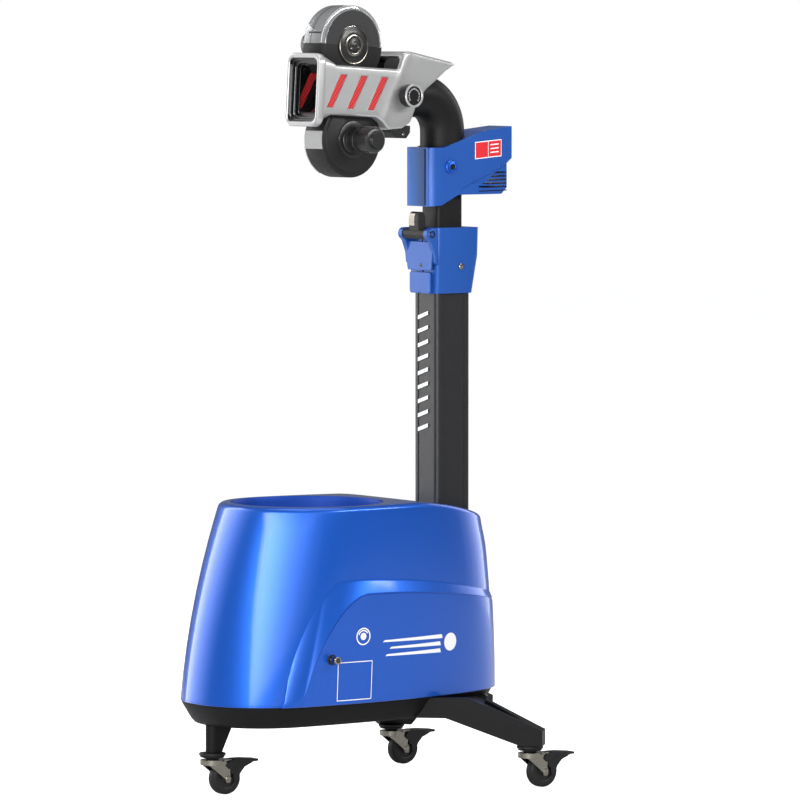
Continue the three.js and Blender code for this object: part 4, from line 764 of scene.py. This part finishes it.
class ROBOT_OT_collar(bpy.types.Operator):
    """Clamp collar with its pin, cam lever and screws"""

    bl_idname = "robot.collar"
    bl_label = "Clamp collar"

    def execute(self, context):
        finer("clamp_collar", "satin_blue", "base", 1.2, 30)
        for side, low, high in (("left", 30.2, 41.6), ("right", -41.6, -30.2)):
            web = [
                (36, 865), (47, 865.8), (53, 863), (55.8, 857.5), (54.5, 852), (49, 846), (42.6, 828), (41, 812),
                (36, 808),
            ]
            dress(prism(f"collar_gusset_{side}", web, low, high, BASE, width=1.6), "base", "satin_blue", "blue_satin")
        panel = [(-39, 845), (39, 845), (38, 838), (34, 806), (32, 800), (-32, 800), (-34, 806), (-38, 838)]
        cover = [
            (-27, 797), (27, 797), (28.5, 795), (28.5, 767), (27, 765.5), (-27, 765.5), (-28.5, 767), (-28.5, 795),
        ]
        for name, outline, low, high, edge in (
            ("collar_front_panel", panel, 41.0, 43.4, 0.9), ("collar_tab_cover", cover, 39.5, 42.4, 1.0),
        ):
            dress(prism(name, outline, low, high, BASE, "yz", edge), "base", "satin_blue", "blue_satin")
        pin = [
            (0, -42.2), (5.2, -42.2), (5.8, -41.6), (5.8, -40), (3, -40), (3, 40), (5.8, 40), (5.8, 41.6),
            (5.2, 42.2), (3.4, 42.2), (3.2, 39), (0, 39),
        ]
        # The pin's ends are really recessed; its gloss black stands for the shade in these holes in the ears, painted
        # shade.
        dress(turned("clamp_pin_bar", pin, PIN_PLACE, sides=48), "base", "gloss_black", "nickel", "clamp_pin")
        barrel = mirrored([(3.3, -29.7), (7.6, -29.7), (8.3, -29)])
        roller = turned("clamp_barrel", barrel + barrel[:1], PIN_PLACE, sides=64)
        blade = [
            (53, 861), (54, 868), (54.6, 876), (54.2, 884), (52.4, 889), (49.4, 891.6), (46, 891.8), (42.6, 889),
            (40.6, 884), (40.2, 876), (40.6, 868), (41.6, 861),
        ]
        lever = prism("clamp_blade", blade, -13.4, 13.4, BASE, width=1.4)
        dress(merged("clamp_lever_fine", [roller, lever]), "clamp_lever", "moulded", "black_gloss", "clamp_lever")
        face = [
            (54.4, 870), (54.9, 876), (54.5, 884), (52.8, 888.6), (51.5, 889), (53, 884), (53.4, 876), (53.2, 870),
        ]
        dress(prism("lever_face", face, -12.4, 3, BASE), "clamp_lever", "fork_steel", "nickel")
        screw("collar_screw_front", BASE, (43.2, 4, 808), "x", 3.2, 1.2, 1.6, "base", "gloss_black")
        screw("collar_screw_left", BASE, (-9, 40.2, 806), "y", 4.6, 2.0, 2.0, "base", "nickel")
        return {"FINISHED"}


BOSS_X, BOSS_Z = 9.5, 962


class ROBOT_OT_bracket(bpy.types.Operator):
    """Swing bracket, its vented cover, the hub and the swing motor"""

    bl_idname = "robot.bracket"
    bl_label = "Swing bracket"

    def execute(self, context):
        finer("swing_bracket", "satin_blue", "mast_top", 1.0, 30)
        finer("swing_cover", "satin_blue", "mast_top", 0.5, 30)
        finer("swing_hub", "moulded", "mast_top", 0.5)
        finer("swing_motor", "motor", "mast_top", 0.5)
        # Thin plate over the flat of the bracket's front, in the darker blue that fades across it: painted shade.
        plate = [(-22, 901.5), (22, 901.5), (22, 990.5), (-22, 990.5)]
        piece = prism("bracket_front_face", plate, 47.6, 48.35, BASE, "yz", 0.3)
        dress(piece, "mast_top", "bracket_front", "blue_satin")
        for side, sign in SIDES:
            profile = [
                (0, 38.2), (11.4, 38.2), (11.2, 39.6), (10.2, 41.4), (9.4, 42.2), (8.6, 42.4), (8.0, 41.6),
                (7.4, 43.6), (5.2, 44), (4.6, 43.4), (0, 43.4),
            ]
            profile = [(r, t * sign) for r, t in profile]
            piece = turned(f"bracket_boss_{side}", profile, (BOSS_X, 0, BOSS_Z), sides=36)
            dress(piece, "mast_top", "blue", "blue_satin")
            # Black disc at the floor of each boss's hexagon hole: painted shade in the hole.
            low, high = sorted((43.4 * sign, 43.8 * sign))
            piece = prism(f"bracket_socket_{side}", arc(BOSS_X, BOSS_Z, 4.6, 12)[:-1], low, high, BASE)
            dress(piece, "mast_top", "gloss_black", "black_gloss")
        for end, place in (("front", (-36, 38.2, 938)), ("rear", (-88, 33.2, 961))):
            screw(f"cover_screw_{end}", BASE, place, "y", 3.4, 1.8, 1.5, "mast_top", "satin_blue")
        return {"FINISHED"}


class ROBOT_OT_elbow(bpy.types.Operator):
    """Elbow pipe and the neck at its end"""

    bl_idname = "robot.elbow"
    bl_label = "Elbow pipe"

    def execute(self, context):
        path = [(0, 972.3, 0), (0, 1000, 0)]
        bend, level = 58, 1074
        for i in range(33):
            angle = i / 32 * math.pi / 2
            path.append((bend - bend * math.cos(angle), level - bend + bend * math.sin(angle), angle))
        path.append((82, level, math.pi / 2))
        rings = [self.ring(34.6, *spot) for spot in path] + [self.ring(31.6, *spot) for spot in reversed(path)]
        dress(ring_stack("elbow_tube", rings, smooth=40), "elbow", "pipe", "black_satin", "elbow_pipe")
        finer("head_neck", "moulded", "elbow", 0.8)
        return {"FINISHED"}

    def ring(self, radius, x, z, angle, count=72):
        points = []
        for i in range(count):
            turn = i / count * 2 * math.pi
            out, y = radius * math.cos(turn), radius * math.sin(turn)
            points.append((x + out * math.cos(angle), y, z - out * math.sin(angle)))
        return spots(SWING, points)


# Upper and lower side line of the head, as millimetres ahead of the tilt axis and above it
HEAD_TOP = ((-101.5, 54), (-97, 57), (-8, 69), (6, 66), (14, 40), (143, 40), (160, 52), (172, 53))
HEAD_LOW = (
    (-101.5, 53.2), (-96, 49), (-42, 9), (-24, -18), (-15, -42), (2, -52), (31, -55), (42, -45), (56, -37),
    (148, -37), (172, -53),
)
# Middles of the slots, outline and middle of the recess on top, centres and radii of the wheel drums
SLOT_PLACES = (141, 99, 57)
RECESS, RECESS_Z = (32, 19, 9, 8), 42
DRUMS = {"upper": (100, 72.5, 61.5), "lower": (92, -72.5, 59)}


def along(line, x):
    """Height of a side line at a place, with its corners eased."""
    total = 0
    for step in (-2, -1, 0, 1, 2):
        spot = min(max(x + step, line[0][0]), line[-1][0])
        for (a, b), (c, d) in zip(line, line[1:]):
            if spot <= c:
                total += mix(b, d, (spot - a) / (c - a))
                break
    return total / 5


def crease(x, y, z):
    """Side of the head: a soft fold from the crest to the belly, behind which it narrows."""
    fold = 25.5 - 0.427 * z
    behind = max(fold - x, 0)
    swell = 0.6 * math.exp(-(((x - fold) / 6.5) ** 2)) if abs(y) > 30 else 0
    return math.copysign(abs(y) - 0.035 * behind * behind / (behind + 6) + swell, y)


def head_section(x, inset):
    top, low, half = along(HEAD_TOP, x) - inset, along(HEAD_LOW, x) + inset, 38.5 - inset
    bend = min(max((x - 144) / 18, 0), 1)
    corner = max(min(mix(4.5, 13, bend * bend * (3 - 2 * bend)) - inset, (top - low) / 2 - 0.2), 0.3)
    points = [(half, mix(low + corner, top - corner, i / 10)) for i in range(11)]
    for i in range(1, 7):
        angle = i / 6 * math.pi / 2
        points.append((half - corner + corner * math.cos(angle), top - corner + corner * math.sin(angle)))
    points += [(-y, z) for y, z in reversed(points)]
    for i in range(1, 12):
        angle = math.pi * (1 + i / 12)
        side = -1 if i < 6 else 1
        if i != 6:
            points.append(
                (side * (half - corner) + corner * math.cos(angle), low + corner + corner * math.sin(angle))
            )
    return spots(HEAD, [(x, crease(x, y, z), z) for y, z in points])


def head_body(name, places, inset):
    """Closed skin of the head through its sections."""
    return closed_skin(name, [head_section(x, inset) for x in places])


def head_ring(x, outline):
    return spots(HEAD, [(x, a, b) for a, b in outline])


def places_between(start, end, step):
    count = max(int((end - start) / step), 1)
    return [mix(start, end, i / count) for i in range(count + 1)]


def slot_outline(x, spare):
    low, high = -26 - spare, 26 + spare
    return [(x + 6.5 + spare, low), (x + 19.5 + spare, low), (x - 6.5 + spare, high), (x - 19.5 - spare, high)]


def block_of(name, x, y, z):
    return prism(name, bar(*x, *z), *y, HEAD)


def drum_cutter(x, z, radius, half):
    return turned("drum", [(0, -half), (radius, -half), (radius, half), (0, half)], (x, 0, z), HEAD)


class ROBOT_OT_head(bpy.types.Operator):
    """Head shells, red inserts, mouth frame and rear under-cover"""

    bl_idname = "robot.head"
    bl_label = "Head shells"

    def execute(self, context):
        self.shells()
        for side, sign in SIDES:
            finer(f"{side}_slot_insert", "red", "head", 0.3, name=f"{side}_insert_fine")
            for i, x in enumerate(SLOT_PLACES):
                rings = []
                for spare, y in ((1.9, 38.2), (1.3, 39.1), (0.4, 39.0), (0.0, 38.0), (0.0, 37.3), (1.9, 37.3)):
                    rings.append(spots(HEAD, [(a, y * sign, b) for a, b in slot_outline(x, spare)]))
                dress(ring_stack(f"{side}_slot_edge_{i}", rings, smooth=20), "head", "silver", "silver")
        for side, sign in SIDES:
            lining = block_of(f"side_lining_{side}", (38, 158), sorted((32.6 * sign, 33.1 * sign)), (-33, 38))
            for x in SLOT_PLACES:
                cut_with(lining, prism("slot", slot_outline(x, 1.5), -60, 60, HEAD))
            cut_with(lining, drum_cutter(92, -80, 61.8, 40))
            dress(lining, "head", "gloss_black", "black_gloss")
        self.mouth()
        rings = []
        for inset, x in ((0.4, -14), (0.4, 8.2), (1.2, 9.6), (2.4, 9.8), (2.8, 8), (2.8, -14)):
            outline = round_box(RECESS[0] - inset, RECESS[1] - inset, *RECESS[2:])
            rings.append(spots(HEAD, [(x + 4.5 - max(b + 2, 0) * 0.3, a, RECESS_Z + b) for a, b in outline]))
        dress(ring_stack("recess_lining", rings, smooth=40), "head", "gloss_black", "black_gloss")
        finer("rear_under_cover", "moulded", "head", 1.6)
        finer("ball_channel", "moulded", "head", 0.6)
        screw("under_cover_screw", HEAD, (-2, 35.0, -60), "y", 2.6, 1.4, 1.1, "head")
        return {"FINISHED"}

    def mouth(self):
        """Bright rim of the mouth and the stepped black funnel inside it."""
        rings = []
        for inset, x in (
            (-0.6, 166), (-1.6, 167.2), (-1.8, 169), (-1.8, 176), (-0.9, 178.1), (1.1, 178.9),
            (3.9, 178.9), (5.4, 178), (5.8, 175), (5.8, 172.3), (0.2, 172.3), (0.2, 166),
        ):
            rings.append(head_ring(x, round_box(38.2 - inset, 54.7 - inset, max(14 - inset, 2), 12)))
        dress(ring_stack("mouth_rim", rings, smooth=40), "head", "silver", "silver", "mouth_frame")
        tunnel = [
            (5.9, 177.4), (7.2, 177), (7.4, 173.5), (8.6, 172.8), (9.6, 172.6), (9.9, 168), (11.2, 167.2),
            (12.6, 167), (13, 161), (14, 160.6),
        ]
        steps = [(inset, x, 0) for inset, x in tunnel] + [(14, 159.6, 0), (5.9, 159.6, 9)]
        rings = []
        for inset, x, flat in steps:
            rings.append(head_ring(x, round_box(40 - inset, 56.5 - inset * 1.2 - flat, max(15 - inset * 0.5, 3), 12)))
        dress(ring_stack("mouth_tunnel", rings, smooth=30), "head", "gloss_black", "black_gloss", "mouth_liner")

    def shells(self):
        """Both halves of the silver shell, hollow, with the cuts for slots, drums, pipe and recess."""
        stops = (-101.5, -95, -46, -8, 18, 26, 46, 60, 138, 172)
        steps = (2, 6, 3, 1.5, 4, 1.5, 3, 8, 1.5)
        places = []
        for start, end, step in zip(stops, stops[1:], steps):
            places += places_between(start, end, step)[:-1]
        whole = head_body("head_body", places + [172], 0)
        inside = places_between(-88, 18, 4) + places_between(20, 160, 10) + [166, 176]
        cut_with(whole, head_body("head_hollow", inside, 3))
        for x, z, radius in DRUMS.values():
            cut_with(whole, drum_cutter(x, z, radius + 0.3, 23.8))
        cut_with(whole, block_of("pipe_way", (-220, -7), (-35.2, 35.2), (-70, 45)))
        rim = [(a, RECESS_Z + b) for a, b in round_box(*RECESS)]
        cut_with(whole, closed_skin("recess_cut", [head_ring(-4, rim), head_ring(41, rim)]))
        for x in SLOT_PLACES:
            cut_with(whole, prism("slot", slot_outline(x, 0), -60, 60, HEAD))
        for side, keep in (("left", (-60, 0.15)), ("right", (-0.15, 60))):
            half = placed(f"head_shell_{side}_fine", whole.data.copy())
            cut_with(half, block_of("half", (-130, 200), keep, (-90, 100)))
            shade(half.data, 30)
            dress(half, "head", "silver", "silver", f"head_shell_{side}")
        drop(whole)


class ROBOT_OT_wheels(bpy.types.Operator):
    """Throwing wheels with their housings and motors"""

    bl_idname = "robot.wheels"
    bl_label = "Throwing wheels"

    def execute(self, context):
        for name, side in (("upper", -1), ("lower", 1)):
            x, z, _ = DRUMS[name]
            self.motor(name, x, z, side)
            roller = [(3.3, -15), (12, -15), (14, -12), (40, -12), (42, -15), (51, -15), (52.7, -13.6)]
            tread = [(51.4, -3), (51.2, 0), (51.4, 3)]
            roller = roller + tread + mirrored(roller)[len(roller):] + roller[:1]
            piece = turned(f"{name}_roller", roller, (x, 0, z), HEAD)
            dress(piece, f"{name}_throw_wheel", "rubber", "rubber", f"{name}_throw_wheel")
        self.shell("upper_cover", "upper", "clear", "upper_wheel_cover", "smoke")
        self.shell("upper_housing", "upper", "moulded", "upper_wheel_housing", "black_satin", 46)
        self.shell("lower_housing", "lower", "moulded", "lower_wheel_housing", "black_satin", 46)
        x, z, _ = DRUMS["upper"]
        outer = [(x + (a - x) * 54.2 / 54, b) for a, b in arc(x, z + 0.2, 54, 48, 0, math.pi)]
        face = [(x + 30, z + 0.2)] + outer + arc(x, z + 0.2, 30, 24, math.pi, 0)[:-1]
        self.band("dome_seam", "upper", 1, 179, -5.6, -4.8, "moulded", "smoke", 0.3)
        self.band("dome_latch", "upper", 14.6, 16.8, -12, 17, "moulded", "black_satin")
        # White strip round the clear dome's rim: a painted highlight where its clear wall catches the light.
        self.band("dome_edge", "upper", 1, 179, 19.6, 20.4, "white", "smoke", 0.1)
        self.band("drum_guard", "lower", -17, 10, -21, 20, "guard", "silver")
        self.band("drum_glint", "lower", -66, -14, -22.8, -20.6, "silver", "silver", 0.3)
        for side, low in (("left", 23.5), ("right", -24.0)):
            dress(prism(f"upper_face_{side}", face, low, low + 0.5, HEAD), "head", "charcoal", "black_satin")
        return {"FINISHED"}

    def band(self, name, drum, start, end, low, high, look, slot, thick=0.5):
        """Thin strip that follows a drum's wall between two angles in degrees."""
        x, z, radius = DRUMS[drum]
        start, end = math.radians(start), math.radians(end)
        points = arc(x, z, radius + thick, 40, start, end) + arc(x, z, radius - 0.4, 40, end, start)
        dress(prism(name, points, low, high, HEAD), "head", look, slot)

    def shell(self, name, drum, look, node, slot, reach=None):
        """Half of a drum: the outer half, or as much towards the other wheel as the reach says."""
        x, z, radius = DRUMS[drum]
        profile = [
            (0, 23.5), (radius - 7.2, 23.5), (radius - 6.6, 23.1), (radius - 6.2, 22.1), (radius - 1.4, 21.9),
            (radius - 0.4, 21.4), (radius, 20.2),
        ]
        inner = [(0, -19.5), (radius - 2.4, -19.5), (radius - 2.4, 19.5), (0, 19.5)]
        full = turned(name, mirrored(profile) + inner + profile[:1], (x, 0, z), HEAD)
        if reach is None:
            floor, roof = z, z + 90
        elif z > 0:
            floor, roof = z - reach, z - 0.3
        else:
            floor, roof = z - 90, z + reach
        for low, high in ((roof, roof + 200), (floor - 200, floor)):
            cut_with(full, prism("slab", bar(x - 90, x + 90, low, high), -50, 50, HEAD))
        shade(full.data)
        dress(full, "head", look, slot, node)

    def motor(self, name, x, z, side):
        """Plate on both sides of a drum, the motor can on the given side and a capped shaft end on the other."""
        def piece(label, profile, look, slot, *nodes):
            points = [(r, h * side) for r, h in profile]
            dress(turned(f"{name}_{label}", points, (x, 0, z), HEAD), "head", look, slot, *nodes)

        case = [
            (0, -30), (3.4, -30), (4.4, -29.4), (7.6, -28.6), (11.4, -28.2), (12, -27), (12, -26.4), (17.6, -26.4),
            (18.2, -27), (22.6, -27), (24, -26.2), (27.6, -26.2), (28.6, -25.6), (29, -24.6), (29, -23.6), (3, -23.6),
            (3, 23.6), (29, 23.6), (29, 24.6), (28.4, 25.6), (27.4, 26), (21, 26), (20.4, 26.8), (19.6, 27.4),
            (18.2, 27.8), (20.5, 29), (20.5, 46), (19.7, 46.6), (19.7, 48), (20.5, 48.6), (20.5, 75), (19.6, 77.6),
            (17, 79.4), (12.4, 79.4), (12, 80), (12, 82.6), (11.2, 83.4), (0, 83.4),
        ]
        piece("motor_case", case, "motor_case", "anodised", f"{name}_wheel_motor")
        piece(
            "motor_lip", [(27.2, -26), (27.6, -27.2), (28.4, -27.4), (29.2, -26.6), (29.2, -25.8), (27.2, -26)],
            "fork_steel", "nickel",
        )
        piece(
            "shaft_ring", [(12.6, -26.3), (13, -27.6), (15, -28), (16.6, -27.4), (17, -26.3), (12.6, -26.3)],
            "nickel", "nickel",
        )
        piece("case_band", [(20.5, 29.6), (21, 30), (21, 33), (20.5, 33.4), (20.5, 29.6)], "hub", "anodised")
        for i in range(3 if side < 0 else 0):
            angle = math.radians(80 + 120 * i)
            place = (x + 8 * math.cos(angle), 28.3, z + 8 * math.sin(angle))
            screw(f"{name}_shaft_screw_{i}", HEAD, place, "y", 2.2, 1.4, 0.8, "head")
        for i in range(8):
            angle = math.radians(22.5 + 45 * i)
            a, b = math.cos(angle), math.sin(angle)
            rib = [
                (x + a * r - b * t, z + b * r + a * t)
                for r, t in ((20.1, -2.6), (21.2, -2.0), (21.2, 2.0), (20.1, 2.6))
            ]
            span = (52, 72) if side > 0 else (-72, -52)
            dress(prism(f"{name}_case_rib_{i}", rib, *span, HEAD), "head", "motor_case", "anodised")


class ROBOT_OT_tilt_knob(bpy.types.Operator):
    """Tilt knob with its dial, and the pivot on the other side"""

    bl_idname = "robot.tilt_knob"
    bl_label = "Tilt knob"

    def execute(self, context):
        body = [
            (0, 24), (5, 24), (5, 38.9), (13.5, 38.9), (14, 40), (17.2, 42.5), (17.6, 44), (17.6, 58.2), (0, 58.2),
        ]
        dress(turned("tilt_knob_body", body, (0, 0, 0), HEAD), "tilt_knob", "moulded", "silver", "tilt_knob")
        rim = [
            (14.8, 57.4), (17.9, 57.4), (18.2, 58), (18.2, 59.4), (17.6, 60), (15.6, 60), (14.9, 59.2), (14.8, 57.4),
        ]
        dress(turned("tilt_knob_rim", rim, (0, 0, 0), HEAD), "tilt_knob", "silver", "silver")
        disc = [(0, 58), (14.9, 58), (14.9, 58.6), (0, 58.6)]
        dress(turned("tilt_knob_face", disc, (0, 0, 0), HEAD), "tilt_knob", "gloss_black", "black_gloss")
        marks = []
        for i in range(21):
            angle = math.radians(-40 + 13 * i)
            long = 11.6 if i % 5 else 12.4
            a, b = math.cos(angle), math.sin(angle)
            ends = ((9.6, 0.35), (9.6, -0.35), (long, -0.35), (long, 0.35))
            marks.append(prism("tick", [(a * r - b * t, b * r + a * t) for r, t in ends], 58.55, 58.72, HEAD))
        dress(merged("tilt_dial_ticks", marks), "tilt_knob", "white", "white_plastic")
        pivot = [(0, -43), (7, -43), (8.6, -42), (9, -41), (9, -38.8), (5, -38.8), (5, -24), (0, -24)]
        dress(turned("tilt_pivot_pin", pivot, (0, 0, 0), HEAD, sides=48), "head", "nickel", "nickel", "tilt_pivot")
        return {"FINISHED"}


def cover_patch(name, shapes, lift=0.35):
    """Printed shapes on the left cover: flat polygons laid on its surface, in (X, Z) millimetres."""
    bm = bmesh.new()
    for points in shapes:
        bm.faces.new([bm.verts.new((a, 0, b)) for a, b in points])
    bmesh.ops.triangulate(bm, faces=bm.faces)
    for _ in range(3):
        bmesh.ops.subdivide_edges(bm, edges=[e for e in bm.edges if e.calc_length() > 7], cuts=1)
        bmesh.ops.triangulate(bm, faces=bm.faces)
    for v in bm.verts:
        x, z = v.co.x, v.co.z
        low, high = 0.05, math.pi - 0.05
        for _ in range(40):
            turn = (low + high) / 2
            if tub_point(turn, z, rise(turn)).x > x:
                low = turn
            else:
                high = turn
        v.co = BASE @ (tub_point(turn, z, rise(turn) + lift) * MM)
    bmesh.ops.recalc_face_normals(bm, faces=bm.faces)
    return from_bmesh(name, bm)


def annulus(x, z, outer, inner, *span):
    outer, inner = arc(x, z, outer, *span), arc(x, z, inner, *span)
    return [[a, b, d, c] for a, b, c, d in zip(outer, outer[1:], inner, inner[1:])]


class ROBOT_OT_graphics(bpy.types.Operator):
    """Plain printed shapes: a ball with speed stripes, a roundel, a blank frame, dashes and a sticker, with strips of
    painted shade along the bracket's vents
    """

    bl_idname = "robot.graphics"
    bl_label = "Plain graphics"

    def execute(self, context):
        shapes = [arc(58, 226, 14)[:-1]]
        for i, (start, end) in enumerate(((202, 78), (188, 80), (196, 78))):
            z, tip = 236 - 11 * i, end + i * 1.5
            shapes.append([(start, z - 1.2), (start - 4, z + 1.6), (tip, z + 3.2), (tip - 2, z - 3)])
        dress(cover_patch("speed_stripes", shapes), "base", "white", "white_plastic")
        x, z = 240, 246
        shapes = annulus(x, z, 13.5, 11.5) + [arc(x, z, 5.5, 24)[:-1]] + annulus(x, z, 10, 8.2, 20, 0.3, 2.6)
        dress(cover_patch("roundel", shapes), "base", "white", "white_plastic")
        left, right, top, low, line = 287, 221, 208, 148, 1.3
        upright = [bar(left, left - line, low, top), bar(right + line, right, low, top)]
        level = [bar(left, right, top - line, top), bar(left, right, low, low + line)]
        dress(cover_patch("blank_frame", upright + level), "base", "white", "white_plastic")
        dashes = []
        for i in range(9):
            z = 546 + 22 * i
            outline = [(-20, z), (8, z + 8), (8, z + 14), (-20, z + 6)]
            dashes.append(prism("dash", outline, 32.0, 32.25, BASE, "yz"))
        dress(merged("mast_dashes", dashes), "base", "white", "white_plastic")
        self.sticker()
        return {"FINISHED"}

    def sticker(self):
        """Red sticker with a white border on the left of the swing bracket, following its side, and black strips of
        painted shade along the vents under it.
        """
        bend, end = -42, -111.5

        def wall(x):
            return 38.5 if x > bend else mix(38.5, 31, (x - bend) / (end - bend))

        def sheet(name, x0, x1, z0, z1, lift, look, slot, slant=0.075):
            verts = []
            for x in (x0, max(min(bend, x0), x1), x1):
                verts += [(x, wall(x) + lift, z + (-36 - x) * slant) for z in (z0, z1)]
            dress(mesh_object(name, spots(BASE, verts), [(0, 1, 3, 2), (2, 3, 5, 4)]), "mast_top", look, slot)

        sheet("sticker_border", -36, -90, 973, 1000, 0.25, "white", "white_plastic")
        sheet("sticker_red_front", -37.4, -62.2, 974.5, 998.5, 0.45, "sticker", "red_film")
        sheet("sticker_red_rear", -63.4, -88.6, 974.5, 998.5, 0.45, "sticker", "red_film")
        for i in range(3):
            sheet(f"sticker_bar_{i}", -67, -84, 980 + 6 * i, 981.8 + 6 * i, 0.6, "white", "white_plastic")
        # Black strips along the cover's vents: painted shade where the vent gaps fall dark.
        for i in range(6):
            x, z = -44 - 6.2 * i, 922 + 5.5 * i
            sheet(f"vent_shade_{i}", x, -101, z, z + 1.7, 0.15, "gloss_black", "black_gloss", 0.015)


# The view in metres, millimetres of lens and degrees, with level directions towards the camera and to its right
TOWARD, RIGHT = Vector((0.5592, 0.829, 0)), Vector((-0.829, 0.5592, 0))
CAMERA_REACH, LOOK_DOWN, LENS, SENSOR = 10.8, 3.46, 309.6, 36
LAMP_REACH = 3.0


class ROBOT_OT_studio(bpy.types.Operator):
    """Pale floor and backdrop, soft lights and the camera"""

    bl_idname = "robot.studio"
    bl_label = "Studio"

    def execute(self, context):
        self.floor()
        self.world()
        aim = MAST + Vector((0.0546, -0.0369, 0.595))
        lamps = [
            ("fill", aim + TOWARD * LAMP_REACH + RIGHT * 1.2 + Vector((0, 0, 1.3)), (2.4, 1.6), 9, 0),
            ("top", aim + Vector((0, 0, 2.6)), (2.6, 2.6), 34, 0),
            ("rear_high", self.around(aim, 120) + Vector((0, 0, 0.9)), (2.4, 0.5), 60, 0),
        ]
        for name, start, step, width, length, lean, powers in (
            ("key", 16, 5, 0.21, 3.4, 53, (19, 18.5, 16, 13, 10.5, 8.2, 6.4, 4.8, 3.4, 2.2, 1.3, 0.6)),
            ("left", -71, 6.2, 0.33, 2.8, 0, (13, 11, 8.5, 6, 4, 2.5, 1.2)),
            ("right", 172, 6.2, 0.33, 2.8, 0, (1, 2.5, 4, 6, 8)),
        ):
            for i, power in enumerate(powers):
                lamps.append((f"{name}_{i}", self.around(aim, start + step * i), (width, length), power, lean))
        for lamp in lamps:
            self.lamp(aim, *lamp)
        self.camera(aim)
        context.scene.view_settings.view_transform = "Standard"
        return {"FINISHED"}

    def lamp(self, aim, name, place, size, power, lean):
        lamp = bpy.data.lights.new(name, "AREA")
        lamp.shape = "RECTANGLE"
        lamp.size, lamp.size_y = size
        lamp.energy = power
        obj = placed(name, lamp)
        obj.location = place
        facing = (aim - place).to_track_quat("-Z", "Y") @ Quaternion((0, 0, 1), math.radians(lean))
        obj.rotation_euler = facing.to_euler()

    def camera(self, aim):
        data = bpy.data.cameras.new("camera")
        data.lens = LENS
        data.sensor_width = SENSOR
        data.clip_end = 100
        camera = placed("camera", data)
        drop = math.radians(LOOK_DOWN)
        camera.location = aim + (TOWARD * math.cos(drop) + Vector((0, 0, math.sin(drop)))) * CAMERA_REACH
        camera.rotation_euler = (aim - camera.location).to_track_quat("-Z", "Y").to_euler()
        bpy.context.scene.camera = camera

    def around(self, aim, azimuth):
        """Place beside the robot in a compass direction, a little above its middle."""
        turn = math.radians(azimuth)
        return aim + Vector((math.cos(turn), math.sin(turn), 0)) * LAMP_REACH + Vector((0, 0, 0.6))

    def floor(self):
        bm = bmesh.new()
        bmesh.ops.create_grid(bm, x_segments=1, y_segments=1, size=14)
        floor = from_bmesh("floor", bm)
        pale = Finish("pale_floor", (0.72, 0.72, 0.72), 0.7)
        surface = pale.shader.outputs["BSDF"]
        glow = pale.node("ShaderNodeEmission", {"Color": (1, 1, 1, 1), "Strength": 0.86})
        add = pale.node("ShaderNodeAddShader")
        pale.link(surface, add.inputs[0])
        pale.link(glow.outputs["Emission"], add.inputs[1])
        self.for_camera(pale.tree, surface, add.outputs["Shader"], "Material Output")
        floor.data.materials.append(pale.material)

    def world(self):
        world = bpy.data.worlds.new("studio")
        bpy.context.scene.world = world
        world.use_nodes = True
        tree = world.node_tree
        back = tree.nodes["Background"]
        back.inputs["Color"].default_value = (0.9, 0.92, 0.95, 1)
        back.inputs["Strength"].default_value = 0.2
        white = tree.nodes.new("ShaderNodeBackground")
        white.inputs["Color"].default_value = (1, 1, 1, 1)
        self.for_camera(tree, back.outputs["Background"], white.outputs["Background"], "World Output")

    def for_camera(self, tree, unseen, seen, output):
        """Shows one shader to the camera and the other to all other rays."""
        path = tree.nodes.new("ShaderNodeLightPath")
        mixer = tree.nodes.new("ShaderNodeMixShader")
        tree.links.new(path.outputs["Is Camera Ray"], mixer.inputs["Fac"])
        tree.links.new(unseen, mixer.inputs[1])
        tree.links.new(seen, mixer.inputs[2])
        tree.links.new(mixer.outputs["Shader"], tree.nodes[output].inputs["Surface"])


PIECES = (
    ROBOT_OT_hopper, ROBOT_OT_side_knob, ROBOT_OT_base, ROBOT_OT_casters, ROBOT_OT_masts, ROBOT_OT_collar,
    ROBOT_OT_bracket, ROBOT_OT_elbow, ROBOT_OT_head, ROBOT_OT_wheels, ROBOT_OT_tilt_knob, ROBOT_OT_graphics,
    ROBOT_OT_studio,
)


class ROBOT_PT_panel(bpy.types.Panel):
    """Lists the robot's pieces, sizes and colours"""

    bl_idname = "ROBOT_PT_panel"
    bl_label = "Table tennis robot"
    bl_space_type = "VIEW_3D"
    bl_region_type = "UI"
    bl_category = "Robot"

    def draw(self, context):
        layout = self.layout
        for group in (context.scene.robot_sizes, context.scene.robot_colours):
            for name in group.__annotations__:
                layout.prop(group, name)
        for piece in PIECES:
            layout.operator(piece.bl_idname)


CLASSES = (RobotColours, RobotSizes, *PIECES, ROBOT_PT_panel)


def register():
    for cls in CLASSES:
        bpy.utils.register_class(cls)
    bpy.types.Scene.robot_colours = PointerProperty(type=RobotColours)
    bpy.types.Scene.robot_sizes = PointerProperty(type=RobotSizes)


def unregister():
    del bpy.types.Scene.robot_sizes
    del bpy.types.Scene.robot_colours
    for cls in reversed(CLASSES):
        bpy.utils.unregister_class(cls)


def main():
    register()
    finishes.update(make_finishes())
    for piece in PIECES:
        group, name = piece.bl_idname.split(".")
        getattr(getattr(bpy.ops, group), name)()


if __name__ == "__main__":
    main()
